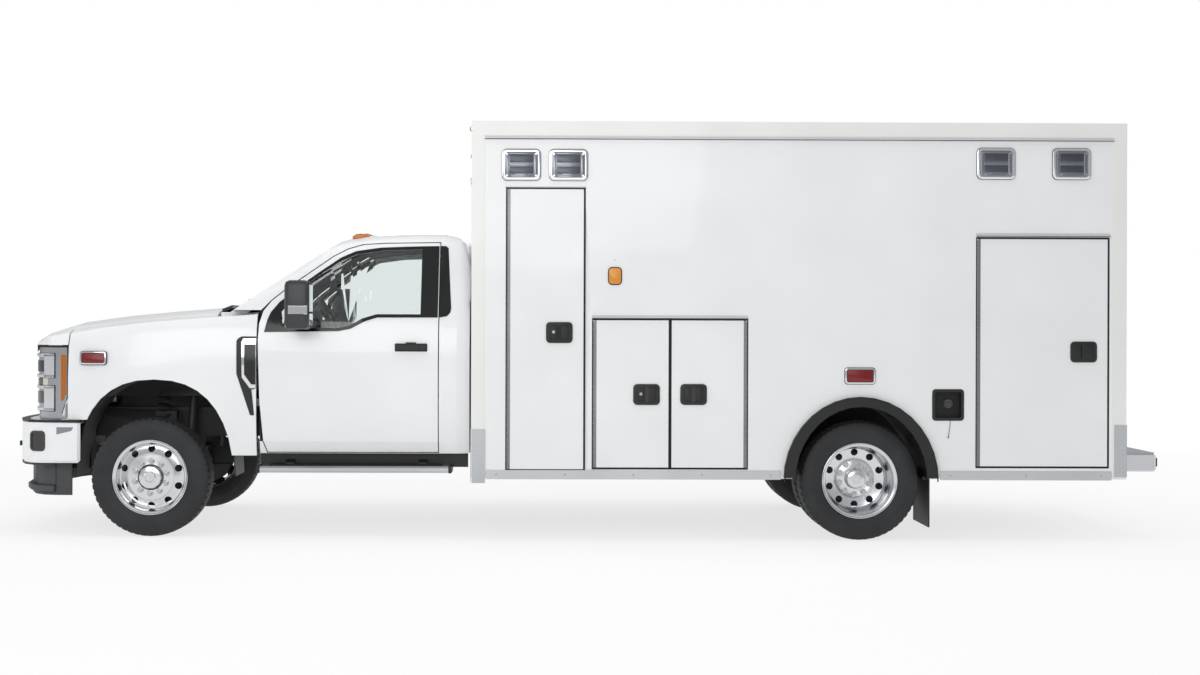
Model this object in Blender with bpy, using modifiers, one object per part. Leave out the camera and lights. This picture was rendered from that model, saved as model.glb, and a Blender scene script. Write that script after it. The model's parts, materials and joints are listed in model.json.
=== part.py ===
"""Type I ambulance: a chassis cab truck with twin rear wheels that carries a box module.

Metres, +Z up, the front towards -X and the vehicle's left side towards -Y. The origin is on
the ground under the middle of the whole vehicle. Every piece hangs from one empty on the
front axle's line, so X below counts backwards from the front axle.
"""

import math

import bmesh
import bpy
from mathutils import Matrix, Vector

# Overall sizes
WHEELBASE = 4.902
FRONT_OVERHANG = 1.055
REAR_OVERHANG = 2.115
SEAT_GAP = 0.0003
WELD = 0.000001
CAP_WELD = 0.00001

# Wheels
TYRE_RADIUS = 0.411
TYRE_WIDTH = 0.226
BEAD_RADIUS = 0.245
FLANGE_RADIUS = 0.2605
RIM_WIDTH = 0.200
FRONT_WHEEL_Y = 0.950
REAR_OUTER_Y = 1.077
DUAL_SPACING = 0.262
HAND_HOLE_RADIUS = 0.025
HAND_HOLES = 10
WHEEL_STEPS = 20

# Steering and axles
KINGPIN_Y = 0.790
KINGPIN_RADIUS = 0.036
KINGPIN_HALF = 0.070
FRONT_BEAM_RADIUS = 0.045
REAR_TUBE_RADIUS = 0.055
SPRING_Y = 0.500
SPRING_RADIUS = 0.058

# Ladder frame
RAIL_OUTER_Y = 0.430
RAIL_WIDTH = 0.075
RAIL_BOTTOM = 0.660
RAIL_TOP = 0.870
RAIL_WALL = 0.012
FRAME_FRONT = -0.760
FRAME_REAR = 6.640
CROSS_WIDTH = 0.120

# Cab
CAB_FRONT = 0.450
CAB_BACK = 2.206
CAB_WALL = 0.070
SKIN = 0.030
CAB_SILL = 0.575
CAB_FLOOR_BOTTOM = 0.900
CAB_FLOOR_TOP = 0.950
DOOR_FRONT = 0.735
DOOR_GAP = 0.007
CAB_HINGE_X = 0.700
CAB_HINGE_Y = 0.970

# Module
MODULE_FRONT = 2.233
MODULE_LENGTH = 4.489
MODULE_HALF_WIDTH = 1.220
MODULE_BOTTOM = 0.428
MODULE_TOP = 2.872
MODULE_WALL = 0.055
ROOF_THICKNESS = 0.080
FLOOR_BOTTOM = 0.955
FLOOR_THICKNESS = 0.065
PANEL_THICKNESS = 0.050
PANEL_GAP = 0.006
HINGE_RADIUS = 0.0027

FRONT_AXLE_X = FRONT_OVERHANG - (FRONT_OVERHANG + WHEELBASE + REAR_OVERHANG) / 2
VEHICLE_REAR = WHEELBASE + REAR_OVERHANG
MODULE_REAR = MODULE_FRONT + MODULE_LENGTH
WALL_TOP = MODULE_TOP - ROOF_THICKNESS

for leftover in list(bpy.data.objects):
    bpy.data.objects.remove(leftover)

parts = bpy.data.collections.new("ambulance")
bpy.context.scene.collection.children.link(parts)
home = bpy.data.objects.new("front_axle_line", None)
home.location = (FRONT_AXLE_X, 0, 0)
parts.objects.link(home)


# Materials: name, colour, roughness, metallic
FINISHES = (
    ("white_paint", (0.86, 0.86, 0.86), 0.25, 0.0),
    ("aluminium", (0.72, 0.73, 0.74), 0.35, 1.0),
    ("polished_aluminium", (0.80, 0.81, 0.82), 0.18, 1.0),
    ("chassis_black", (0.03, 0.03, 0.03), 0.55, 0.2),
    ("cast_steel", (0.12, 0.12, 0.12), 0.60, 0.6),
    ("rubber", (0.025, 0.025, 0.025), 0.80, 0.0),
    ("black_plastic", (0.035, 0.035, 0.037), 0.50, 0.0),
    ("grey_plastic", (0.13, 0.13, 0.14), 0.60, 0.0),
    ("silver_paint", (0.60, 0.61, 0.63), 0.35, 0.6),
    ("seat_cloth", (0.10, 0.10, 0.11), 0.90, 0.0),
    ("clear_glass", (0.30, 0.36, 0.38), 0.05, 0.0),
)
materials = {}
for finish_name, colour, roughness, metallic in FINISHES:
    material = bpy.data.materials.new(finish_name)
    material.use_nodes = True
    shader = material.node_tree.nodes["Principled BSDF"]
    shader.inputs["Base Color"].default_value = (*colour, 1)
    shader.inputs["Roughness"].default_value = roughness
    shader.inputs["Metallic"].default_value = metallic
    materials[finish_name] = material


# Shapes
def shape(bm, weld=WELD):
    """A loose object of a bmesh, with its faces turned outwards."""
    bmesh.ops.remove_doubles(bm, verts=bm.verts, dist=weld)
    bmesh.ops.recalc_face_normals(bm, faces=bm.faces)
    mesh = bpy.data.meshes.new("shape")
    bm.to_mesh(mesh)
    bm.free()
    obj = bpy.data.objects.new("shape", mesh)
    bpy.context.scene.collection.objects.link(obj)
    return obj


def applied(obj, weld=WELD):
    """The object with its modifiers or its curve turned into a plain mesh."""
    graph = bpy.context.evaluated_depsgraph_get()
    mesh = bpy.data.meshes.new_from_object(obj.evaluated_get(graph))
    mesh.transform(obj.matrix_basis)
    bpy.data.objects.remove(obj)
    bm = bmesh.new()
    bm.from_mesh(mesh)
    return shape(bm, weld)


def box(x, y, z):
    """A block between two values on each axis."""
    bm = bmesh.new()
    size = [high - low for low, high in (x, y, z)]
    middle = [(high + low) / 2 for low, high in (x, y, z)]
    bmesh.ops.create_cube(bm, size=1)
    bmesh.ops.scale(bm, vec=size, verts=bm.verts)
    bmesh.ops.translate(bm, vec=middle, verts=bm.verts)
    return shape(bm)


# Where the outline's own u and v, and its thickness, go for each way of facing
FACING = {
    "y": Matrix(((1, 0, 0), (0, 0, -1), (0, 1, 0))).to_4x4(),
    "x": Matrix(((0, 0, 1), (1, 0, 0), (0, 1, 0))).to_4x4(),
    "z": Matrix.Identity(4),
}


def prism(outline, facing, low, high):
    """A flat outline given thickness along an axis: (x, z) for y, (y, z) for x, (x, y) for z."""
    curve = bpy.data.curves.new("outline", "CURVE")
    curve.dimensions = "2D"
    curve.fill_mode = "BOTH"
    curve.extrude = (high - low) / 2
    spline = curve.splines.new("POLY")
    spline.points.add(len(outline) - 1)
    for point, (u, v) in zip(spline.points, outline):
        point.co = (u, v, 0, 1)
    spline.use_cyclic_u = True
    obj = bpy.data.objects.new("outline", curve)
    bpy.context.scene.collection.objects.link(obj)
    shift = -(low + high) / 2 if facing == "y" else (low + high) / 2
    obj.matrix_basis = FACING[facing] @ Matrix.Translation((0, 0, shift))
    return applied(obj, CAP_WELD)


def turned(profile, centre, steps=WHEEL_STEPS):
    """A profile of (radius, distance along Y) turned round a line along Y."""
    bm = bmesh.new()
    points = [bm.verts.new((radius, 0, along)) for radius, along in profile]
    ends = points[1:] if profile[0][0] == 0 else points[1:] + points[:1]
    for first, second in zip(points, ends):
        bm.edges.new((first, second))
    mesh = bpy.data.meshes.new("profile")
    bm.to_mesh(mesh)
    bm.free()
    obj = bpy.data.objects.new("profile", mesh)
    bpy.context.scene.collection.objects.link(obj)
    screw = obj.modifiers.new("turn", "SCREW")
    screw.steps = steps
    screw.render_steps = steps
    screw.use_merge_vertices = True
    screw.merge_threshold = 0.0001
    obj.matrix_basis = Matrix.Translation(centre) @ Matrix.Rotation(-math.pi / 2, 4, "X")
    return applied(obj)


def rod(start, end, radius, sides=12, end_radius=None, twist=0.0):
    """A round bar or a cone between two points."""
    start = Vector(start)
    end = Vector(end)
    bm = bmesh.new()
    bmesh.ops.create_cone(
        bm,
        cap_ends=True,
        segments=sides,
        radius1=radius,
        radius2=radius if end_radius is None else end_radius,
        depth=(end - start).length,
    )
    turn = (end - start).to_track_quat("Z", "Y").to_matrix().to_4x4() @ Matrix.Rotation(twist, 4, "Z")
    bmesh.ops.transform(bm, matrix=Matrix.Translation((start + end) / 2) @ turn, verts=bm.verts)
    return shape(bm)


def tube(points, radius):
    """A bent pipe through points, with filled caps."""
    curve = bpy.data.curves.new("pipe", "CURVE")
    curve.dimensions = "3D"
    curve.bevel_depth = radius
    curve.bevel_resolution = 2
    curve.use_fill_caps = True
    spline = curve.splines.new("POLY")
    spline.points.add(len(points) - 1)
    for point, place in zip(spline.points, points):
        point.co = (*place, 1)
    obj = bpy.data.objects.new("pipe", curve)
    bpy.context.scene.collection.objects.link(obj)
    return applied(obj, CAP_WELD)


def loft(rings):
    """A closed body through rings of points that all have the same count."""
    bm = bmesh.new()
    rows = [[bm.verts.new(point) for point in ring] for ring in rings]
    for row, following in zip(rows, rows[1:]):
        for k in range(len(row)):
            after = (k + 1) % len(row)
            bm.faces.new((row[k], row[after], following[after], following[k]))
    bm.faces.new(rows[0])
    bm.faces.new(rows[-1])
    return shape(bm)


def combine(operation, base, others):
    """The base joined to, cut by or kept inside each of the others, which are used up."""
    for other in others:
        step = base.modifiers.new("step", "BOOLEAN")
        step.operation = operation
        step.solver = "EXACT"
        step.object = other
    result = applied(base)
    for other in others:
        bpy.data.objects.remove(other)
    return result


def union(base, *others):
    return combine("UNION", base, others)


def cut(base, *others):
    return combine("DIFFERENCE", base, others)


def within(base, *others):
    return combine("INTERSECT", base, others)


def rounded(obj, width, segments=1, angle=40):
    """The object with a bevel on its sharp edges."""
    bevel = obj.modifiers.new("edge", "BEVEL")
    bevel.width = width
    bevel.segments = segments
    bevel.limit_method = "ANGLE"
    bevel.angle_limit = math.radians(angle)
    return applied(obj)


def mirrored(obj, keep=True):
    """The same shape on the other side of the vehicle."""
    bm = bmesh.new()
    bm.from_mesh(obj.data)
    bmesh.ops.scale(bm, vec=(1, -1, 1), verts=bm.verts)
    if not keep:
        bpy.data.objects.remove(obj)
    return shape(bm)


def piece(name, obj, finish, pivot=(0, 0, 0)):
    """Names a finished shape, gives it its material and puts its origin on its joint's axis."""
    obj.name = name
    obj.data.name = name
    obj.data.transform(Matrix.Translation(-Vector(pivot)))
    obj.data.materials.clear()
    obj.data.materials.append(materials[finish])
    obj.data.shade_smooth()
    obj.data.set_sharp_from_angle(angle=math.radians(32))
    bpy.context.scene.collection.objects.unlink(obj)
    parts.objects.link(obj)
    obj.parent = home
    obj.location = pivot
    return obj


def both_sides(name, left, finish, pivot=(0, 0, 0)):
    """The piece on the left and its mirror image on the right."""
    x, y, z = pivot
    right = mirrored(left)
    piece(name + "_left", left, finish, (x, -y, z))
    piece(name + "_right", right, finish, (x, y, z))


def inset(outline, distance):
    """A flat outline moved inwards by a distance, with mitred corners."""
    area = sum(a[0] * b[1] - b[0] * a[1] for a, b in zip(outline, outline[1:] + outline[:1]))
    side = math.copysign(1, area)
    moved = []
    for k, (u, v) in enumerate(outline):
        before = Vector((u, v)) - Vector(outline[k - 1])
        after = Vector(outline[(k + 1) % len(outline)]) - Vector((u, v))
        first = Vector((-before.y, before.x)).normalized() * side
        second = Vector((-after.y, after.x)).normalized() * side
        bisector = (first + second).normalized()
        reach = distance / max(0.3, bisector.dot(first))
        moved.append((u + bisector.x * reach, v + bisector.y * reach))
    return moved


def arc(centre, reach, start, end, steps):
    """Points on part of an ellipse, from one angle to another in degrees."""
    angles = [math.radians(start + (end - start) * k / steps) for k in range(steps + 1)]
    return [(centre[0] + reach[0] * math.cos(a), centre[1] + reach[1] * math.sin(a)) for a in angles]


# Ladder frame: two C rails, cross-members, spring towers, body mounts, lift pads and the rear fuel tank
CROSS_PLACES = (-0.64, 0.10, 1.35, 2.65, 4.05, 5.45, 6.52)
CAB_MOUNT_PLACES = (0.95, 1.95)
MODULE_MOUNT_PLACES = (2.65, 4.05, 5.45, 6.40)
MOUNT_HALF = 0.050
LIFT_PAD_X = (1.930, 2.070)
LIFT_PAD_DROP = 0.008
TANK = ((5.470, 6.500), (-0.340, 0.340), (0.480, 0.700))


def rails_and_crossings():
    inner_y = RAIL_OUTER_Y - RAIL_WIDTH
    channel = [
        (-RAIL_OUTER_Y, RAIL_BOTTOM),
        (-inner_y, RAIL_BOTTOM),
        (-inner_y, RAIL_BOTTOM + RAIL_WALL),
        (-RAIL_OUTER_Y + RAIL_WALL, RAIL_BOTTOM + RAIL_WALL),
        (-RAIL_OUTER_Y + RAIL_WALL, RAIL_TOP - RAIL_WALL),
        (-inner_y, RAIL_TOP - RAIL_WALL),
        (-inner_y, RAIL_TOP),
        (-RAIL_OUTER_Y, RAIL_TOP),
    ]
    rail = prism(channel, "x", FRAME_FRONT, FRAME_REAR)
    pieces = [mirrored(rail)]
    reach = RAIL_OUTER_Y - RAIL_WALL / 2
    for x in CROSS_PLACES:
        sides = ((x - CROSS_WIDTH / 2, x + CROSS_WIDTH / 2), (-reach, reach))
        pieces.append(box(*sides, (RAIL_BOTTOM + RAIL_WALL / 2, RAIL_BOTTOM + 0.07)))
    return union(rail, *pieces)


def frame_brackets():
    pieces = []
    for x in CAB_MOUNT_PLACES:
        for side in (-1, 1):
            y = sorted((side * (RAIL_OUTER_Y - RAIL_WALL / 2), side * 0.66))
            reach = (x - MOUNT_HALF, x + MOUNT_HALF)
            pieces.append(box(reach, y, (RAIL_TOP - 0.09, CAB_FLOOR_BOTTOM - SEAT_GAP)))
    for x in MODULE_MOUNT_PLACES:
        for side in (-1, 1):
            y = sorted((side * (RAIL_OUTER_Y - RAIL_WIDTH + 0.005), side * (RAIL_OUTER_Y - 0.002)))
            reach = (x - MOUNT_HALF, x + MOUNT_HALF)
            pieces.append(box(reach, y, (RAIL_TOP - 0.005, FLOOR_BOTTOM - SEAT_GAP)))
    for side in (-1, 1):
        y = sorted((side * (RAIL_OUTER_Y - RAIL_WALL / 2), side * (SPRING_Y + 0.07)))
        pieces.append(box((-0.075, 0.075), y, (RAIL_TOP - 0.14, RAIL_TOP - 0.02)))
    for side in (-1, 1):
        y = sorted((side * (RAIL_OUTER_Y - RAIL_WIDTH + 0.004), side * (RAIL_OUTER_Y - 0.004)))
        pieces.append(box(LIFT_PAD_X, y, (RAIL_BOTTOM - LIFT_PAD_DROP, RAIL_BOTTOM + 0.002)))
    pieces.append(rounded(box(*TANK), 0.03))
    return pieces


ladder = union(rails_and_crossings(), *frame_brackets())
piece("frame", ladder, "chassis_black")


# Engine, standing on the frame's second cross-member
ENGINE = ((-0.42, 0.40), (-0.300, 0.300), (RAIL_BOTTOM + 0.07 + SEAT_GAP, 1.260))
piece("engine_block", rounded(box(*ENGINE), 0.03), "cast_steel")


# Front axle: a beam with its differential, coil springs up to the frame and kingpin bosses
def front_axle():
    centre = (0, 0, TYRE_RADIUS)
    beam = rod((0, -KINGPIN_Y, TYRE_RADIUS), (0, KINGPIN_Y, TYRE_RADIUS), FRONT_BEAM_RADIUS, twist=0.2)
    bulge = [(0, -0.13), (0.09, -0.11), (0.14, -0.03), (0.14, 0.03), (0.09, 0.11), (0, 0.13)]
    extras = [turned(bulge, (0, 0.22, centre[2]), 12)]
    seat = RAIL_TOP - 0.14 - SEAT_GAP
    for side in (-1, 1):
        pin = side * KINGPIN_Y
        low = TYRE_RADIUS - KINGPIN_HALF
        extras.append(rod((0, pin, low), (0, pin, TYRE_RADIUS + KINGPIN_HALF), KINGPIN_RADIUS, 14, twist=0.1))
        spring = side * SPRING_Y
        extras.append(rod((0, spring, TYRE_RADIUS), (0, spring, seat), SPRING_RADIUS, 14, twist=0.1))
    return union(beam, *extras)


piece("front_axle", front_axle(), "chassis_black")

# Rear axle: a tube with its differential, leaf springs up to the rails and the propeller shaft
SPRING_REACH = 0.62
LEAF_Y = RAIL_OUTER_Y + 0.050
LEAF_WIDTH = 0.075
SHAFT_FRONT = 1.50
REAR_HUB_INNER = 0.030
REAR_TUBE_Y = REAR_OUTER_Y - DUAL_SPACING / 2 - REAR_HUB_INNER - SEAT_GAP


def rear_axle():
    x = WHEELBASE
    z = TYRE_RADIUS
    tube_bar = rod((x, -REAR_TUBE_Y, z), (x, REAR_TUBE_Y, z), REAR_TUBE_RADIUS, twist=0.2)
    bulge = [(0, -0.17), (0.11, -0.15), (0.18, -0.05), (0.18, 0.05), (0.11, 0.15), (0, 0.17)]
    extras = [turned(bulge, (x, 0, z), 12)]
    extras.append(rod((SHAFT_FRONT, 0, 0.60), (x - 0.10, 0, z + 0.02), 0.045))
    eye = RAIL_BOTTOM - 0.035
    leaf = [(x - SPRING_REACH, eye - 0.02), (x - 0.10, z + 0.05), (x + 0.10, z + 0.05)]
    leaf += [(x + SPRING_REACH, eye - 0.02), (x + SPRING_REACH, eye + 0.01)]
    leaf += [(x + 0.12, z + 0.13), (x - 0.12, z + 0.13), (x - SPRING_REACH, eye + 0.01)]
    for side in (-1, 1):
        y = sorted((side * LEAF_Y - LEAF_WIDTH / 2, side * LEAF_Y + LEAF_WIDTH / 2))
        extras.append(prism(leaf, "y", *y))
        for end in (x - SPRING_REACH, x + SPRING_REACH):
            hanger = (end - 0.04, end + 0.04)
            inner = side * (RAIL_OUTER_Y - 0.05)
            reach = sorted((inner, side * (LEAF_Y + LEAF_WIDTH / 2 + 0.006)))
            extras.append(box(hanger, reach, (eye - 0.03, RAIL_BOTTOM - SEAT_GAP)))
    return union(tube_bar, *extras)


piece("rear_axle", rear_axle(), "chassis_black")

# Knuckles: two ears on the kingpin boss, a post, the brake plate, the spindle and the arm
EAR = 0.024
POST_INNER = KINGPIN_Y + KINGPIN_RADIUS + 0.006
POST_OUTER = POST_INNER + 0.026
HUB_BACK = -0.020
PLATE_RADIUS = 0.200


def knuckle():
    z = TYRE_RADIUS
    low = z - KINGPIN_HALF - SEAT_GAP
    high = z + KINGPIN_HALF + SEAT_GAP
    post = box((-0.045, 0.045), (-POST_OUTER, -POST_INNER), (low - EAR, high + EAR))
    extras = []
    for edge, far in ((low, low - EAR), (high, high + EAR)):
        reach = sorted((edge, far))
        extras.append(rod((0, -KINGPIN_Y, reach[0]), (0, -KINGPIN_Y, reach[1]), KINGPIN_RADIUS, 16))
        extras.append(box((-0.036, 0.036), (-POST_INNER - 0.004, -KINGPIN_Y), reach))
    plate_back = -POST_OUTER + 0.004
    extras.append(rod((0, plate_back, z), (0, plate_back - 0.010, z), PLATE_RADIUS, 24))
    hub = -(FRONT_WHEEL_Y + HUB_BACK - SEAT_GAP)
    extras.append(rod((0, -POST_OUTER + 0.01, z), (0, hub, z), 0.045, 16))
    extras.append(box((0.03, 0.19), (-POST_OUTER + 0.002, -POST_INNER), (low - EAR, low + 0.01)))
    return union(post, *extras)


both_sides("knuckle", knuckle(), "cast_steel", (0, KINGPIN_Y, TYRE_RADIUS))


# Tyres and rims, turned round the axle's line; the second value of a row is outwards
def tyre(y):
    half = TYRE_WIDTH / 2
    bead = RIM_WIDTH / 2 - 0.0075
    rim = BEAD_RADIUS + SEAT_GAP
    rows = (
        (rim, -bead),
        (FLANGE_RADIUS + 0.004, -bead),
        (0.325, -half),
        (0.392, -half * 0.90),
        (TYRE_RADIUS, -half * 0.76),
        (TYRE_RADIUS, half * 0.76),
        (0.392, half * 0.90),
        (0.325, half),
        (FLANGE_RADIUS + 0.004, bead),
        (rim, bead),
    )
    return turned(list(rows), (0, y, TYRE_RADIUS))


def at(obj, x):
    obj.data.transform(Matrix.Translation((x, 0, 0)))
    return obj


def barrel(offset, flip):
    """The rim's well from its outer lip to its inner lip, as radius and place outwards."""
    half = RIM_WIDTH / 2
    lip = 0.0070
    rows = (
        (BEAD_RADIUS - 0.014, half - 0.014),
        (FLANGE_RADIUS, half),
        (FLANGE_RADIUS, half - lip),
        (BEAD_RADIUS, half - lip),
    )
    whole = list(rows) + [(radius, -out) for radius, out in reversed(rows)]
    if flip:
        whole.reverse()
    return [(radius, out + offset) for radius, out in whole]


def hand_holes(ring, x, low, high):
    holes = []
    for k in range(HAND_HOLES):
        turn = 2 * math.pi * k / HAND_HOLES
        place = (x + ring * math.sin(turn), TYRE_RADIUS + ring * math.cos(turn))
        start = (place[0], low, place[1])
        holes.append(rod(start, (place[0], high, place[1]), HAND_HOLE_RADIUS, 6))
    return holes


def front_rim():
    face = [(0, 0.118), (0.040, 0.118), (0.046, 0.100), (0.080, 0.098), (0.084, 0.074)]
    face += [(0.165, 0.066), (0.176, 0.050), (0.216, 0.040)]
    back = [(BEAD_RADIUS - 0.014, 0.006), (0.205, 0.024), (0.170, 0.038), (0.090, 0.050)]
    back += [(0.084, HUB_BACK), (0, HUB_BACK)]
    profile = [(r, -out) for r, out in face + barrel(0, False) + back]
    rim = turned(profile, (0, -FRONT_WHEEL_Y, TYRE_RADIUS))
    low = -FRONT_WHEEL_Y - 0.12
    return cut(rim, *hand_holes(0.197, 0, low, -FRONT_WHEEL_Y + 0.05))


DUAL_PLANE = REAR_OUTER_Y - DUAL_SPACING / 2


def rear_rims():
    reach = DUAL_SPACING / 2
    face = [(0, 0.112), (0.060, 0.110), (0.068, 0.098), (0.070, 0.036), (0.132, 0.030)]
    face += [(0.140, 0.013), (0.206, 0.026), (BEAD_RADIUS - 0.012, 0.060)]
    outer = barrel(reach, False)
    joint = [(0.212, 0.017), (0.160, 0.005), (0.160, -0.005), (0.212, -0.017)]
    inner = [(r, -out) for r, out in reversed(outer)]
    back = [(BEAD_RADIUS - 0.012, -0.060), (0.206, -0.026), (0.140, -0.013), (0.120, -0.014)]
    back += [(0.120, -REAR_HUB_INNER), (0, -REAR_HUB_INNER)]
    profile = [(r, -out) for r, out in face + outer + joint + inner + back]
    rims = turned(profile, (WHEELBASE, -DUAL_PLANE, TYRE_RADIUS))
    low = -DUAL_PLANE - 0.08
    return cut(rims, *hand_holes(0.182, WHEELBASE, low, -DUAL_PLANE + 0.08))


FRONT_HUB = (0, FRONT_WHEEL_Y, TYRE_RADIUS)
REAR_HUB = (WHEELBASE, DUAL_PLANE, TYRE_RADIUS)
both_sides("front_tyre", tyre(-FRONT_WHEEL_Y), "rubber", FRONT_HUB)
both_sides("front_rim", front_rim(), "polished_aluminium", FRONT_HUB)
both_sides("rear_outer_tyre", at(tyre(-REAR_OUTER_Y), WHEELBASE), "rubber", REAR_HUB)
both_sides("rear_inner_tyre", at(tyre(DUAL_SPACING - REAR_OUTER_Y), WHEELBASE), "rubber", REAR_HUB)
both_sides("rear_rims", rear_rims(), "polished_aluminium", REAR_HUB)


# Cab envelope: a cross-section carried back along X, its roof dropping at both ends, and cut
# in front by a windscreen that is bowed across its width
# Rows of the half section: distance from the middle, height
CAB_SECTION = (
    (0.955, CAB_SILL),
    (0.985, 0.660),
    (1.010, 0.910),
    (1.015, 1.250),
    (1.002, 1.380),
    (0.975, 1.500),
    (0.800, 2.030),
    (0.765, 2.085),
    (0.690, 2.122),
    (0.400, 2.150),
    (0.0, 2.158),
)
# Rows along the cab: X, how far the roof drops, how far the sides draw in
CAB_STATIONS = (
    (CAB_FRONT - 0.05, 0.100, 0.0),
    (1.200, 0.075, 0.0),
    (1.360, 0.038, 0.0),
    (1.520, 0.014, 0.0),
    (1.750, 0.0, 0.0),
    (2.020, 0.0, 0.0),
    (2.120, 0.022, 0.0),
    (2.165, 0.070, 0.010),
    (CAB_BACK, 0.200, 0.030),
)
ROOF_ZONE = 2.000
SCREEN_BASE = (0.484, 1.586)
SCREEN_SLOPE = 0.6434
SCREEN_BOW = 0.060
COWL_TOP = 1.560
SECTION_TOP = 2.300


def cab_ring(x, drop, draw, wall):
    half = [(y - draw, z - drop if z > ROOF_ZONE else z) for y, z in CAB_SECTION]
    whole = half + [(-y, z) for y, z in reversed(half[:-1])]
    return [(x, y, z) for y, z in inset(whole, wall)]


def bowed_front(wall):
    """Everything behind the windscreen's and the bulkhead's faces."""
    rings = []
    lean = wall * math.hypot(1, SCREEN_SLOPE) / SCREEN_SLOPE
    for y in (-1.10, -0.80, -0.55, -0.28, 0.0, 0.28, 0.55, 0.80, 1.10):
        foot = SCREEN_BASE[0] + SCREEN_BOW * (y / 0.8) ** 2 + lean
        head = foot + (SECTION_TOP - SCREEN_BASE[1]) / SCREEN_SLOPE
        cowl = foot + (COWL_TOP - wall - SCREEN_BASE[1]) / SCREEN_SLOPE
        ring = [(CAB_FRONT + wall, 0.4), (CAB_FRONT + wall, COWL_TOP - wall)]
        ring += [(max(cowl, CAB_FRONT + wall + 0.001), COWL_TOP - wall), (head, SECTION_TOP)]
        ring += [(3.0, SECTION_TOP), (3.0, 0.4)]
        rings.append([(x, y, z) for x, z in ring])
    return loft(rings)


def cab_sides(wall=0.0):
    """The cab's sides and roof drawn in by a wall, open past the windscreen."""
    stations = list(CAB_STATIONS)
    if wall > 0:
        stations = stations[:-3] + [(CAB_BACK - wall, 0.0, 0.0)]
    return loft([cab_ring(x, drop, draw, wall) for x, drop, draw in stations])


def cab_envelope(wall=0.0):
    return within(cab_sides(wall), bowed_front(wall))


# Outlines on the cab's side, as X and height
DOOR_OUTLINE = [
    (0.800, 0.585),
    (0.771, 0.669),
    (0.748, 0.948),
    (DOOR_FRONT, 1.365),
    (0.740, 1.480),
    (0.765, 1.570),
    (0.818, 1.640),
    (0.922, 1.728),
    (1.235, 1.955),
    (1.339, 2.010),
    (1.443, 2.040),
    (1.600, 2.050),
    (1.988, 2.056),
    (1.988, 0.585),
]
# The door's inner lining: below the window, and up its rear post
LINING_OUTLINE = [
    (0.836, 0.620),
    (0.806, 0.669),
    (0.783, 0.948),
    (0.771, 1.365),
    (0.773, 1.444),
    (1.280, 1.444),
    (1.480, 1.540),
    (1.850, 1.560),
    (1.850, 2.022),
    (1.953, 2.022),
    (1.953, 0.620),
]
WINDOW_OUTLINE = [
    (0.905, 1.452),
    (0.935, 1.668),
    (1.151, 1.830),
    (1.291, 1.925),
    (1.400, 1.972),
    (1.600, 2.000),
    (1.862, 2.008),
    (1.862, 1.548),
    (1.555, 1.548),
    (1.455, 1.518),
    (1.370, 1.468),
    (1.285, 1.450),
]
# The windscreen's opening as seen from the front
SCREEN_OUTLINE = [(-0.800, 1.625), (-0.700, 2.000), (-0.4, 2.028), (0.4, 2.028), (0.700, 2.000)]
SCREEN_OUTLINE += [(0.800, 1.625), (0.4, 1.612), (-0.4, 1.612)]
PASS_WINDOW = [(-0.36, 1.46), (0.36, 1.46), (0.36, 1.88), (-0.36, 1.88)]
GLASS = 0.005
DOOR_SKIN = 0.008
GLASS_DEPTH = 0.016
SIDE_FAR = -1.30
SIDE_NEAR = -0.70
PAD = (0.795, 0.835)
PAD_HEIGHTS = ((0.680, 0.760), (0.860, 0.940))


def side_prism(outline):
    return prism(outline, "y", SIDE_FAR, SIDE_NEAR)


def door_zone():
    """The room that a door and its gap take out of the cab's wall."""
    return cut(side_prism(inset(DOOR_OUTLINE, -DOOR_GAP)), cab_sides(CAB_WALL + DOOR_GAP))


def cab_shell():
    shell = cab_envelope()
    cavity = within(cab_envelope(CAB_WALL), box((0, 3), (-2, 2), (CAB_FLOOR_TOP, 3)))
    under = box((0, 3), (-0.70, 0.70), (0, CAB_FLOOR_BOTTOM))
    zone = door_zone()
    front = DOOR_FRONT + 0.012
    low_front = box((0, front), (-2, 2), (0, CAB_FLOOR_BOTTOM))
    steps = [box((0, front), sorted((side * 0.85, side * 2)), (0, 1.575)) for side in (-1, 1)]
    screen = prism(SCREEN_OUTLINE, "x", 0.3, 1.50)
    passage = prism(PASS_WINDOW, "x", 2.0, 2.4)
    shell = cut(shell, cavity, under, mirrored(zone), zone, low_front, *steps, screen, passage)
    pads = []
    for z in PAD_HEIGHTS:
        for side in (-1, 1):
            block = box(PAD, sorted((side * 0.88, side * 1.0)), z)
            pads.append(within(block, cab_sides(CAB_WALL + SEAT_GAP)))
    return union(shell, *pads)


piece("cab_shell", cab_shell(), "white_paint")


def cab_door():
    """Skin, rim and lining, each stepped in from the last so that the door swings clear of its frame."""
    skin = cut(side_prism(DOOR_OUTLINE), cab_sides(DOOR_SKIN))
    rim = cut(side_prism(inset(DOOR_OUTLINE, 0.024)), cab_sides(SKIN))
    lining = cut(side_prism(LINING_OUTLINE), cab_sides(CAB_WALL))
    door = within(union(skin, rim, lining), cab_sides())
    return cut(door, side_prism(WINDOW_OUTLINE))


def cab_glass():
    slab = cut(side_prism(inset(WINDOW_OUTLINE, SEAT_GAP)), cab_sides(GLASS_DEPTH + GLASS))
    return within(slab, cab_sides(GLASS_DEPTH))


CAB_HINGE = (CAB_HINGE_X, CAB_HINGE_Y, 1.0)
both_sides("cab_door", cab_door(), "white_paint", CAB_HINGE)
both_sides("cab_door_glass", cab_glass(), "clear_glass", CAB_HINGE)


def windscreen():
    slab = prism(inset(SCREEN_OUTLINE, SEAT_GAP), "x", 0.3, 1.45)
    slab = cut(slab, cab_envelope(GLASS_DEPTH + GLASS))
    return within(slab, cab_envelope(GLASS_DEPTH))


piece("windscreen", windscreen(), "clear_glass")

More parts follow.
